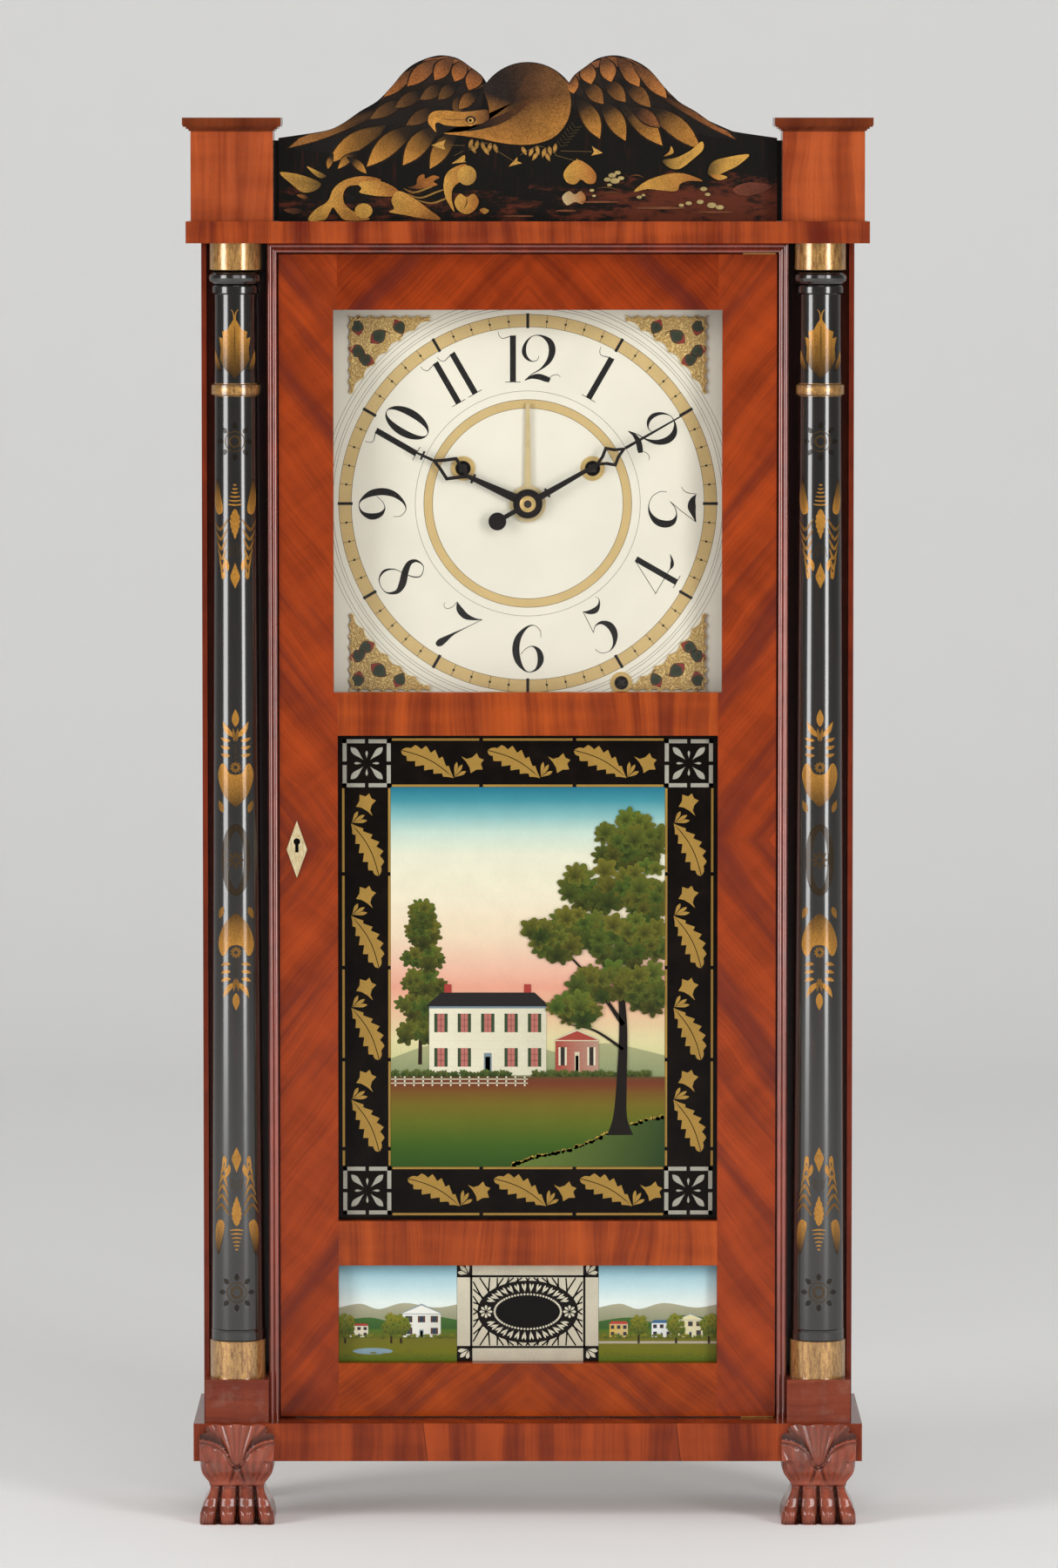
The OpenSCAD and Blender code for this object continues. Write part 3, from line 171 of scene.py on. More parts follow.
class Value:
    """One number of a material, which adds Math nodes as it is used in a sum."""

    def __init__(self, finish, socket):
        self.finish = finish
        self.socket = socket

    def maths(self, operation, *others):
        return self.finish.maths(operation, self, *others)

    def __add__(self, other):
        return self.maths("ADD", other)

    __radd__ = __add__

    def __mul__(self, other):
        return self.maths("MULTIPLY", other)

    __rmul__ = __mul__

    def __sub__(self, other):
        return self.maths("SUBTRACT", other)

    def __rsub__(self, other):
        return self.finish.maths("SUBTRACT", other, self)

    def __abs__(self):
        return self.maths("ABSOLUTE")

    def rise(self, low, high):
        """0 below low, 1 above high and a soft step between."""
        return self.finish.node("ShaderNodeMapRange", {"interpolation_type": "SMOOTHSTEP"},
                                {0: self, 1: low, 2: high})

    def most(self, other):
        return self.maths("MAXIMUM", other)


class Finish:
    """A material under way. Every node comes from node()."""

    def __init__(self, name, **looks):
        self.material = bpy.data.materials.new(name)
        self.material.use_nodes = True
        self.tree = self.material.node_tree
        self.tree.nodes.clear()
        self.shader = self.tree.nodes.new("ShaderNodeBsdfPrincipled")
        out = self.tree.nodes.new("ShaderNodeOutputMaterial")
        self.tree.links.new(self.shader.outputs[0], out.inputs[0])
        for key, value in looks.items():
            self.put(key.replace("_", " "), value)

    def node(self, kind, settings=None, values=None, out=0):
        """Any node: its settings first, then the values or links of its sockets."""
        made = self.tree.nodes.new(kind)
        for key, value in (settings or {}).items():
            setattr(made, key, value)
        for key, value in (values or {}).items():
            self.join(made.inputs[key], value)
        return Value(self, made.outputs[out])

    def join(self, socket, value):
        if isinstance(value, Value):
            self.tree.links.new(value.socket, socket)
        elif socket.type == "RGBA":
            socket.default_value = (*tone(value), 1.0)
        else:
            socket.default_value = value

    def put(self, name, value):
        """Sets or links a socket of the surface shader."""
        self.join(self.shader.inputs[name], value)

    def maths(self, operation, *parts):
        return self.node("ShaderNodeMath", {"operation": operation}, dict(enumerate(parts)))

    def mix(self, share, a, b, kind="MIX"):
        """A colour between a and b."""
        return self.node("ShaderNodeMix", {"data_type": "RGBA", "blend_type": kind},
                         {0: share, 6: a, 7: b}, 2)

    def dim(self, colour, share):
        """A colour made darker or lighter by a number."""
        return self.node("ShaderNodeVectorMath", {"operation": "SCALE"}, {0: colour, "Scale": share})

    def place(self):
        """Place on the object in millimetres, as three numbers."""
        coordinates = self.node("ShaderNodeTexCoord", out="Object")
        split = self.node("ShaderNodeSeparateXYZ", {}, {0: coordinates})
        return tuple(Value(self, split.socket.node.outputs[i]) * 1000 for i in range(3))

    def noise(self, x, y, z, detail=3.0, rough=0.5):
        """Soft cloud of about 0 to 1 at a point."""
        point = self.node("ShaderNodeCombineXYZ", {}, {0: x, 1: y, 2: z})
        return self.node("ShaderNodeTexNoise", {}, {"Vector": point, "Scale": 1.0, "Detail": detail,
                                                   "Roughness": rough})

    def bump(self, height, depth):
        """Relief in millimetres."""
        self.put("Normal", self.node("ShaderNodeBump", {}, {"Height": height, "Distance": depth * MM,
                                                            "Strength": 1.0}))


def upright(x, y, z):
    """Grain that runs up a board."""
    return z, x + y * 0.9, y


def crossways(x, y, z):
    """Grain that runs across a board."""
    return x, z + y * 0.9, y


def slanted(side, joint, lean=38, flat=False):
    """Grain that leans on a slant and turns back at a joint, as matched veneer does. Flat is for a rail."""
    c, s = math.cos(math.radians(lean)), math.sin(math.radians(lean))

    def grain(x, y, z):
        run, rise = (abs(x - joint), z * side) if flat else (abs(z - joint), x * side)
        return run * c + rise * s, rise * c - run * s + y * 0.5, y
    return grain


def polished(name, grain, seed=0.0, pale=None, deep=None, band=0.5, smoke=0.45, stripe=0.35,
             gloss=0.12, dust=0.0, cut=False, dark=(), joins=(), coat=0.12):
    """French polished veneer: soft bands, fibres, short pores and smoky streaks along the grain.
    Dark holds pairs of heights between which the stain is darker, and joins are places across the width where
    one sheet of veneer meets the next."""
    f = Finish(name, Coat_Weight=coat, Coat_Roughness=0.08, Coat_IOR=1.5 if coat < 0.9 else 2.0,
               Specular_IOR_Level=0.15)
    pale = pale or wood().pale
    deep = deep or wood().deep
    x, y, z = f.place()
    along, across, depth = grain(x, y, z)
    for edge in joins:
        across = across + (x + z * 0.12).rise(edge - 0.05, edge + 0.05) * 37
    wander = f.noise(along * 0.009 + seed, across * 0.012, depth * 0.02, 2.0) * 22
    line = across + wander
    bands = f.noise(along * 0.0035 + seed, line * 0.06, depth * 0.05, 3.0, 0.5)
    lines = f.noise(along * 0.012, line * 0.55 + seed, depth * 0.4, 3.0, 0.6)
    fibres = f.noise(along * 0.06, line * 2.6 + seed, depth * 0.9, 3.0, 0.6)
    pores = f.noise(along * 0.34, line * 4.2, depth * 3 + seed, 2.0, 0.5)
    flame = f.noise(along * 0.07, across * 0.014 + seed, depth * 0.02, 2.0)
    clouds = f.noise(along * 0.004 + seed * 2, across * 0.05, depth * 0.03, 3.0, 0.6)
    light = ((bands - 0.5) * (2.6 * band) + (lines - 0.5) * (1.7 * stripe) + (fibres - 0.5) * (0.7 * stripe)
             + (flame - 0.5) * 0.6 + 0.5)
    colour = f.mix(light.rise(0.0, 1.0), deep, pale)
    colour = f.mix(clouds.rise(0.48, 0.72) * smoke, colour, wood().smoke)
    pits = pores.rise(0.58, 0.7)
    colour = f.dim(colour, 1.0 - pits * 0.3)
    for low, high in dark:
        colour = f.dim(colour,
                       1.0 - z.rise(low - 0.4, low + 0.4) * (1 - z.rise(high - 0.4, high + 0.4)) * 0.62)
    for edge in joins:
        colour = f.dim(colour, 1.0 - (1 - abs(x + z * 0.12 - edge).rise(0.1, 0.6)) * 0.55)
    if dust:
        haze = f.noise(x * 0.08, y * 0.08 + seed, z * 0.08, 4.0, 0.6)
        colour = f.mix(haze.rise(0.45, 0.75) * dust, colour, "8d7468")
    # Painted shade: on a carved piece, vertex colours that are darker where the carving is cut deep multiply
    # the veneer
    if cut:
        own = f.node("ShaderNodeVertexColor", {"layer_name": TINTS})
        colour = f.mix(1.0, colour, own, "MULTIPLY")
    f.put("Base Color", colour)
    f.put("Roughness", fibres * 0.1 + gloss + pits * 0.15)
    f.bump(pits * -0.6 + fibres * 0.3, 0.04)
    return f.material


def plain_wood(name, grain, colour, seed=0.0, rough=0.62, bands=1.0, dark=0.62, iron=None):
    """Unpolished board with soft year rings, fibres and handling marks. In front of the depth iron it is
    iron, as the square end of a winding arbor is."""
    f = Finish(name, Specular_IOR_Level=0.3)
    x, y, z = f.place()
    along, across, depth = grain(x, y, z)
    line = across + f.noise(along * 0.01 + seed, across * 0.03, depth * 0.03, 2.0) * 30
    rings = f.noise(along * 0.002 + seed, line * 0.22 * bands, depth * 0.12, 2.0, 0.4)
    fibres = f.noise(along * 0.05, line * 2.2 + seed, depth * 2.2, 3.0, 0.6)
    marks = f.noise(x * 0.02 + seed, y * 0.02, z * 0.02, 4.0, 0.65)
    light = (rings - 0.5) * 1.1 + (fibres - 0.5) * 0.7 + 0.55
    colour = tone(colour)
    board = f.mix(light.rise(0.0, 1.0), tuple(c * dark * 0.8 for c in colour), colour)
    board = f.mix(marks.rise(0.55, 0.8) * 0.45, board, tuple(c * 0.45 for c in colour))
    if iron is not None:
        metal_end = 1 - y.rise(iron - 0.3, iron + 0.3)
        board = f.mix(metal_end, board, f.mix(marks.rise(0.4, 0.7), "26221f", "4b443d"))
        f.put("Metallic", metal_end * 0.5)
    f.put("Base Color", board)
    f.put("Roughness", fibres * 0.2 + rough - 0.1)
    f.bump(fibres, 0.12)
    return f.material


def worn_metal(name, colour, rough=0.3, tarnish="4a3a24", amount=0.4, grit=0.0, shine=0.7):
    """Metal with tarnish in clouds, fine scratches and, for castings, a gritty skin."""
    f = Finish(name, Metallic=shine)
    x, y, z = f.place()
    clouds = f.noise(x * 0.09, y * 0.09, z * 0.09, 5.0, 0.65)
    scratches = f.noise(x * 0.4, y * 3.0, z * 3.0, 3.0, 0.7)
    grain = f.noise(x * 1.2, y * 1.2, z * 1.2, 4.0, 0.7)
    colour = f.mix(clouds.rise(0.42, 0.75) * amount, colour, tarnish)
    colour = f.dim(colour, 0.88 + scratches * 0.24)
    f.put("Base Color", colour)
    f.put("Roughness", clouds * 0.3 + scratches * 0.12 + (rough - 0.2))
    f.bump(grain * grit + scratches * 0.08, 0.3)
    return f.material


def black_paint(name, wear=0.4, bands=(), worn="4a1d12", patch=None, beads=(), dull=False):
    """Old black paint, rubbed thin over red wood, with dull gold on turned bands given as height ranges.
    A patch is a pair of heights between which the paint has gone at the right. Beads are heights and half
    heights of bands that look round."""
    f = Finish(name, Coat_Weight=0.2 if dull else 1.0, Coat_Roughness=0.3 if dull else 0.15,
               Coat_IOR=1.5 if dull else 1.8, Specular_IOR_Level=0.1)
    x, y, z = f.place()
    streaks = f.noise(x * 0.25, y * 0.25, z * 0.03, 5.0, 0.65)
    spots = f.noise(x * 0.9, y * 0.9, z * 0.9, 4.0, 0.7)
    colour = f.mix(streaks.rise(0.55, 0.8) * wear, paint().black, worn)
    colour = f.mix(spots.rise(0.62, 0.8) * 0.25, colour, "5b5a57")
    if patch:
        gone = f.noise(x * 0.05, y, z * 0.16, 5.0, 0.7) + (1 - z.rise(*patch)) * 0.3 + x.rise(0, 90) * 0.14
        colour = f.mix(gone.rise(0.78, 0.98) * 0.85, colour, "5e2c1c")
    rough = streaks * 0.16 + 0.14
    shine = None
    if bands:
        leaf = f.noise(x * 0.5, y * 0.5, z * 0.12, 5.0, 0.7)
        fleck = f.noise(x * 1.6, y * 1.6, z * 1.1, 3.0, 0.7)
        gold = f.mix(leaf.rise(0.3, 0.66), "8a5c2c", "d0a05a")
        gold = f.mix(fleck.rise(0.48, 0.7) * 0.75, gold, "4a2c15")
        for low, high in bands:
            here = z.rise(low - 0.3, low + 0.3) * (1 - z.rise(high - 0.3, high + 0.3))
            colour = f.mix(here, colour, gold)
            shine = here if shine is None else shine.most(here)
        rough = rough + shine * 0.16
        f.put("Metallic", shine * 0.6)
    f.put("Base Color", colour)
    f.put("Roughness", rough)
    relief = streaks * 0.03 + spots * 0.02
    for middle, half in beads:
        reach = (z - middle) * (1 / half)
        relief = relief + (1 - reach * reach).most(0).maths("SQRT") * half * 0.8
    f.bump(relief, 1.0)
    return f.material


def painted_shapes(name, rough=0.42, coat=0.0, wear=0.0, shine=0.0, under="14120f", mottle=0.16):
    """Paint of the flat shapes: their own colours, with brushed mottling and worn spots."""
    f = Finish(name, Coat_Weight=coat, Coat_Roughness=0.04, Metallic=shine, Specular_IOR_Level=0.12)
    x, y, z = f.place()
    own = f.node("ShaderNodeVertexColor", {"layer_name": TINTS})
    cloth = f.noise(x * 0.9, y, z * 1.4, 4.0, 0.7)
    clouds = f.noise(x * 0.06, y, z * 0.06, 3.0, 0.6)
    colour = f.dim(own,
                   1.0 - mottle + cloth.rise(0.3, 0.7) * mottle * 0.9 + clouds.rise(0.3, 0.7) * mottle * 0.5)
    if wear:
        chips = f.noise(x * 0.7, y, z * 0.7, 5.0, 0.75)
        colour = f.mix(chips.rise(0.6, 0.7) * wear, colour, under)
    f.put("Base Color", colour)
    f.put("Roughness", cloth * 0.12 + rough - 0.06)
    return f.material


# Flat painting: outlines in millimetres, gathered into one thin mesh

def curve_through(points, steps=6, closed=False):
    """Smooth line through points of two or three numbers."""
    n = len(points)
    line = []
    for i in range(n if closed else n - 1):
        p = [points[(i + k) % n] if closed else points[min(max(i + k, 0), n - 1)] for k in (-1, 0, 1, 2)]
        for s in range(steps):
            t = s / steps
            line.append(tuple(0.5 * (2 * b + (c - a) * t + (2 * a - 5 * b + 4 * c - d) * t * t
                                     + (3 * b - a - 3 * c + d) * t ** 3) for a, b, c, d in zip(*p)))
    if not closed:
        line.append(tuple(points[-1]))
    return line


def turned(points, degrees, centre=(0, 0), size=1.0, flip=False):
    """Points turned clockwise by degrees, scaled and moved to centre."""
    c, s = math.cos(math.radians(degrees)), math.sin(math.radians(degrees))
    moved = []
    for point in points:
        px, pz = (-point[0] if flip else point[0]) * size, point[1] * size
        moved.append((centre[0] + px * c + pz * s, centre[1] - px * s + pz * c,
                      *(w * size for w in point[2:])))
    return moved


def feather(root, tip, width, bend=0.0, full=0.45, steps=9):
    """Pointed leaf from root to tip."""
    rx, rz = root
    dx, dz = tip[0] - rx, tip[1] - rz
    length = math.hypot(dx, dz)
    ux, uz = dx / length, dz / length
    left, right = [], []
    for i in range(steps + 1):
        t = i / steps
        swell = math.sin(math.pi * min(1, t ** (math.log(0.5) / math.log(full)))) if 0 < t < 1 else 0
        swell = swell ** (0.8 if t < full else 1.0)
        sag = bend * math.sin(math.pi * t)
        cx, cz = rx + dx * t - uz * sag, rz + dz * t + ux * sag
        left.append((cx - uz * width * swell / 2, cz + ux * width * swell / 2))
        right.append((cx + uz * width * swell / 2, cz - ux * width * swell / 2))
    return left + right[-2:0:-1]


def oval(cx, cz, rx, rz=None, n=28):
    """Outline of an oval, or of a circle where rz is left out."""
    rz = rx if rz is None else rz
    angles = [2 * math.pi * i / n for i in range(n)]
    return [(cx + rx * math.cos(a), cz + rz * math.sin(a)) for a in angles]


def block(x0, x1, z0, z1):
    """Outline of a rectangle."""
    return [(x0, z0), (x1, z0), (x1, z1), (x0, z1)]


class Painting:
    """Flat shapes on one surface. Later coats lie over earlier ones."""

    def __init__(self):
        self.points = []
        self.faces = []
        self.tints = []
        self.coats = 1

    def over(self):
        """Starts the next coat."""
        self.coats += 1

    def corner(self, x, z, tint):
        """Adds a point and gives back its number."""
        self.points.append((x, z, self.coats))
        self.tints.append(tone(tint))
        return len(self.points) - 1

    def shape(self, outline, tint, fade=None, start=None, end=None):
        """A filled outline. With fade, the colour turns to it from start to end."""
        face = []
        for p in outline:
            colour = tint
            if fade:
                dx, dz = end[0] - start[0], end[1] - start[1]
                share = ((p[0] - start[0]) * dx + (p[1] - start[1]) * dz) / (dx * dx + dz * dz)
                colour = between(tint, fade, min(1, max(0, share)))
            face.append(self.corner(p[0], p[1], colour))
        self.faces.append(face)

    def bloom(self, outline, tint, rim, heart=None):
        """A filled outline whose colour turns from its heart to its rim."""
        cx, cz = heart or (sum(p[0] for p in outline) / len(outline),
                           sum(p[1] for p in outline) / len(outline))
        middle = self.corner(cx, cz, tint)
        edge = [self.corner(p[0], p[1], rim) for p in outline]
        for a, b in zip(edge, edge[1:] + edge[:1]):
            self.faces.append([middle, a, b])

    def stroke(self, path, tint, width=None, steps=6, closed=False, fade=None):
        """A brush line through points of x, z and width."""
        path = [(*p[:2], width if width is not None else p[2]) for p in path]
        line = curve_through(path, steps, closed)
        n = len(line)
        rows = []
        for i, (px, pz, w) in enumerate(line):
            a = line[(i - 1) % n] if closed else line[max(0, i - 1)]
            b = line[(i + 1) % n] if closed else line[min(n - 1, i + 1)]
            dx, dz = b[0] - a[0], b[1] - a[1]
            size = math.hypot(dx, dz) or 1
            ox, oz = -dz / size * max(w, 0) / 2, dx / size * max(w, 0) / 2
            colour = between(tint, fade, i / (n - 1)) if fade else tint
            rows.append((self.corner(px + ox, pz + oz, colour), self.corner(px - ox, pz - oz, colour)))
        for r, q in zip(rows, rows[1:] + rows[:1] if closed else rows[1:]):
            self.faces.append([r[0], r[1], q[1], q[0]])

    def ring(self, cx, cz, inner, outer, tint, n=160):
        """A flat ring between two radii."""
        for i in range(n):
            a, b = 2 * math.pi * i / n, 2 * math.pi * (i + 1) / n
            self.shape([(cx + r * math.sin(t), cz + r * math.cos(t)) for r, t in
                        ((inner, a), (outer, a), (outer, b), (inner, b))], tint)

    def wash(self, x0, x1, levels):
        """Bands of colour between heights, each level a height and a colour."""
        for (z0, low), (z1, high) in zip(levels, levels[1:]):
            self.faces.append([self.corner(*c) for c in
                               ((x0, z0, low), (x1, z0, low), (x1, z1, high), (x0, z1, high))])

    def clip(self, x0, x1, z0, z1, first=0):
        """Keeps every point from the first on inside a rectangle."""
        self.points[first:] = [(min(max(x, x0), x1), min(max(z, z0), z1), coat)
                               for x, z, coat in self.points[first:]]

    def make(self, name, front, body, material, slot, wrap=None):
        """The thin mesh before a flat front, or wrapped round a shape after it is cut into narrow strips."""
        mesh = bpy.data.meshes.new(name)
        mesh.from_pydata([(x * MM, (front - COAT * coat) * MM, z * MM) for x, z, coat in self.points], [],
                         self.faces)
        tints = mesh.color_attributes.new(TINTS, "FLOAT_COLOR", "POINT")
        tints.data.foreach_set("color", [c for t in self.tints for c in (*t, 1.0)])
        if wrap:
            cut = bmesh.new()
            cut.from_mesh(mesh)
            reach = int(max(abs(p[0]) for p in self.points)) + 1
            for n in range(-reach, reach + 1):
                bmesh.ops.bisect_plane(cut, geom=cut.verts[:] + cut.edges[:] + cut.faces[:], dist=1e-7,
                                       plane_co=(n * MM, 0, 0), plane_no=(1, 0, 0))
            for vertex in cut.verts:
                vertex.co = wrap(vertex.co)
            cut.to_mesh(mesh)
            cut.free()
        mesh.materials.append(material)
        mesh.update()
        return placed(name, mesh, body)


def placed(name, mesh, body):
    """A new piece that rides on a body."""
    piece = bpy.data.objects.new(name, mesh)
    bpy.context.scene.collection.objects.link(piece)
    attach(piece, body)
    return piece


def boxes(name, corners, body, material):
    """Plain blocks between pairs of opposite corners, in millimetres."""
    points, faces = [], []
    for a, b in corners:
        first = len(points)
        low, high = [min(p) for p in zip(a, b)], [max(p) for p in zip(a, b)]
        points += [tuple(v * MM for v in (x, y, z)) for z in (low[2], high[2]) for x, y in (
            (low[0], low[1]), (high[0], low[1]), (high[0], high[1]), (low[0], high[1]))]
        faces += [[first + n for n in face] for face in (
            (3, 2, 1, 0), (4, 5, 6, 7), (0, 1, 5, 4), (1, 2, 6, 5), (2, 3, 7, 6), (3, 0, 4, 7))]
    mesh = bpy.data.meshes.new(name)
    mesh.from_pydata(points, [], faces)
    mesh.materials.append(material)
    return placed(name, mesh, body)


def dress(material, *nodes):
    """Gives CAD nodes a material."""
    for name in nodes:
        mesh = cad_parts[name].data
        mesh.materials.clear()
        mesh.materials.append(material)


class ClockOperator:
    """What every step has in common."""

    bl_options = {"REGISTER", "UNDO"}

    def execute(self, context):
        self.build()
        return {"FINISHED"}


class CLOCK_OT_stage(ClockOperator, bpy.types.Operator):
    """Makes the floor, the lamps and the camera"""

    bl_idname = "clock.stage"
    bl_label = "Stage"

    def build(self):
        scene = bpy.context.scene
        look = scene.clock_stage
        self.floor(look)
        scene.world = self.sky(look)
        self.lamp("lamp_left", (-2.7, -2.0, 1.15), (0, 0, 0.52), (1.3, 2.4), look.lamp)
        self.lamp("lamp_right", (2.0, -2.6, 1.15), (0, 0, 0.52), (0.9, 2.4), look.lamp * 0.85)
        self.lamp("lamp_front", (0.4, -4.0, 3.4), (0, 0, 0.5), (2.4, 1.6), look.lamp * 0.5)
        camera = bpy.data.cameras.new("camera")
        camera.lens = look.lens
        camera.sensor_width = 36.0
        camera.clip_start, camera.clip_end = 0.1, 60.0
        scene.camera = self.stand("camera", camera, (0.0008, -0.04 - look.distance, look.height),
                                  (math.pi / 2 - look.tilt, 0, 0))
        scene.view_settings.view_transform = "Standard"

    def floor(self, look):
        """Pale paper that curves up behind the clock. It is clear when seen from behind."""
        near, far, bend, top, half = -12.0, 2.6, 1.6, 7.5, 11.0
        turns = [a * math.pi / 24 for a in range(1, 13)]
        profile = [(near, 0.0), (far, 0.0)]
        profile += [(far + bend * math.sin(a), bend - bend * math.cos(a)) for a in turns]
        profile.append((far + bend, top))
        mesh = bpy.data.meshes.new("floor_and_backdrop")
        mesh.from_pydata([(side * half, y, z) for y, z in profile for side in (-1, 1)], [],
                         [[2 * i, 2 * i + 1, 2 * i + 3, 2 * i + 2] for i in range(len(profile) - 1)])
        for face in mesh.polygons:
            face.use_smooth = True
        f = Finish("studio_paper", Roughness=0.9, Specular_IOR_Level=0.1)
        x, y, z = f.place()
        speck = f.noise(x * 0.02, y * 0.02, z * 0.02, 3.0)
        f.put("Base Color", f.dim(tuple(look.floor), 0.985 + speck * 0.03))
        seen = f.node("ShaderNodeLightPath", out="Is Camera Ray")
        f.put("Emission Color", f.mix(seen, (0.0, 0.0, 0.0), (1.0, 1.0, 1.0)))
        f.put("Emission Strength", look.paper)
        behind = f.node("ShaderNodeNewGeometry", out="Backfacing")
        clear = f.node("ShaderNodeBsdfTransparent")
        both = f.node("ShaderNodeMixShader", {}, {0: behind, 1: Value(f, f.shader.outputs[0]), 2: clear})
        f.tree.links.new(both.socket, f.tree.nodes["Material Output"].inputs[0])
        mesh.materials.append(f.material)
        floor = bpy.data.objects.new("floor_and_backdrop", mesh)
        bpy.context.scene.collection.objects.link(floor)

    def sky(self, look):
        """Even light all round, weaker where polish mirrors it."""
        world = bpy.data.worlds.new("studio_light")
        world.use_nodes = True
        tree = world.node_tree
        sky = tree.nodes["Background"]
        sky.inputs["Color"].default_value = (1.0, 0.99, 0.97, 1.0)
        ray = tree.nodes.new("ShaderNodeLightPath")
        dimmed = tree.nodes.new("ShaderNodeMapRange")
        dimmed.inputs["To Min"].default_value = look.fill
        dimmed.inputs["To Max"].default_value = look.mirrored
        tree.links.new(ray.outputs["Is Glossy Ray"], dimmed.inputs["Value"])
        tree.links.new(dimmed.outputs["Result"], sky.inputs["Strength"])
        return world

    def lamp(self, name, place, target, size, power):
        light = bpy.data.lights.new(name, "AREA")
        light.shape = "RECTANGLE"
        light.size, light.size_y = size
        light.energy = power
        self.stand(name, light, place, (Vector(target) - Vector(place)).to_track_quat("-Z", "Y").to_euler())

    def stand(self, name, data, place, turn):
        stand = bpy.data.objects.new(name, data)
        stand.location = place
        stand.rotation_euler = turn
        bpy.context.scene.collection.objects.link(stand)
        return stand


class CLOCK_OT_case(ClockOperator, bpy.types.Operator):
    """Veneers and boards of the case"""

    bl_idname = "clock.case"
    bl_label = "Case"

    def build(self):
        for name, seed, pale, deep, node, looks in (
                ("side_board", 3.0, "8d3418", "5e1f10", "case_sides", {}),
                ("cornice_banding", 9.0, "a4481f", "5f1e0f", "cornice", {"band": 0.75, "smoke": 0.35}),
                ("base_banding", 14.0, "a1441c", "662412", "base_rail",
                 {"band": 0.8, "smoke": 0.4, "joins": (-60.0, 104.0)}),
                ("plinth_veneer", 21.0, "b4552a", "7e3318", "plinth_blocks",
                 {"band": 0.7, "smoke": 0.25, "dark": ((900.4, 911.0),)}),
                ("moulding_wood", 31.0, "9c3b24", "64200f", "door_moulding", {"gloss": 0.1, "coat": 1.0}),
                # Painted shade: the recess boards beside the columns are mahogany made near-black, as they
                # look in the columns' shade
                ("recess_board_in_painted_shade", 35.0, "3f1610", "1f0b08", "front_stiles", {"smoke": 0.1}),
                ("turned_foot", 41.0, "6e3323", "40170f", "rear_feet", {"dust": 0.3})):
            dress(polished(name, upright, seed, pale, deep, **looks), node)
        dress(polished("block_veneer", crossways, 27.0, "8a4029", "5f2518", dust=0.25), "column_blocks")
        dress(plain_wood("pine_board", upright, wood().pine, 5.0), "backboard")
        dress(plain_wood("pine_inside", crossways, wood().pine, 8.0), "case_top", "case_bottom")


class CLOCK_OT_door(ClockOperator, bpy.types.Operator):
    """Door frame, its glass, escutcheon, lock and hinges"""

    bl_idname = "clock.door"
    bl_label = "Door"

    def build(self):
        dress(polished("stile_veneer_left", slanted(-1, 440), 50.0, smoke=0.7), "door_stile_left")
        dress(polished("stile_veneer_right", slanted(1, 443), 58.0, smoke=0.7), "door_stile_right")
        dress(polished("rail_veneer_top", slanted(-1, 0, 45, True), 63.0, "a03c12", "64200b",
                       smoke=0.7), "door_rail_top")
        dress(polished("rail_veneer_bottom", slanted(-1, 0, 42, True), 68.0, "ae4811", "6e260b",
                       smoke=0.65), "door_rail_bottom")
        dress(polished("rail_banding", upright, 73.0, "b04e1c", band=0.7, smoke=0.3),
              "door_rails_middle")
        glass = Finish("clear_glass", Base_Color=(1, 1, 1), Metallic=1.0)
        x, y, z = glass.place()
        smear = glass.noise(x * 0.03, y, z * 0.02, 4.0, 0.6)
        glass.bump(glass.noise(x * 0.02, y, z * 0.012, 2.0), 0.06)
        glass.put("Roughness", smear * 0.06 + 0.01)
        glass.put("Alpha", smear * 0.02 + 0.02)
        dress(glass.material, "dial_glass")
        tablet = Finish("tablet_backing", Coat_Weight=0.12, Coat_Roughness=0.03, Specular_IOR_Level=0.04)
        x, y, z = tablet.place()
        cloud = tablet.noise(x * 0.05, y, z * 0.05, 4.0, 0.6)
        tablet.put("Base Color", tablet.mix(cloud.rise(0.4, 0.7), "0d0907", "17100c"))
        tablet.put("Roughness", cloud * 0.1 + 0.2)
        dress(tablet.material, "picture_tablet", "lower_tablet")
        bone = Finish("bone", Coat_Weight=0.2)
        x, y, z = bone.place()
        streak = bone.noise(x * 0.8, y, z * 0.15, 4.0, 0.65)
        edge = bone.noise(x * 0.2, y, z * 0.2, 3.0)
        colour = bone.mix(streak.rise(0.35, 0.7), "b39f72", metal().bone)
        bone.put("Base Color", bone.mix(edge.rise(0.55, 0.75) * 0.5, colour, "8f7347"))
        bone.put("Roughness", streak * 0.2 + 0.3)
        bone.bump(streak, 0.05)
        dress(bone.material, "escutcheon")
        dress(worn_metal("lock_iron", metal().iron, 0.45, "5a3a26", 0.5, 0.3), "lock_case")
        dress(worn_metal("lock_brass", metal().brass, 0.3), "lock_bolt", "door_hinges")


# The shaft's lower end and length, how far its stencil stands off the paint, and the sums of a height and its
# mirror image in the two pairs of stencils
SHAFT_FOOT = 118.0
SHAFT_LENGTH = 677.8
CLEAR = 0.06
GROUP_FOLD = 852.0
VASE_FOLD = 863.0


def folded(points, fold):
    """Points mirrored in height, where fold is the sum of a height and its mirror image."""
    return [(px, fold - pz if fold else pz, *rest) for px, pz, *rest in points]


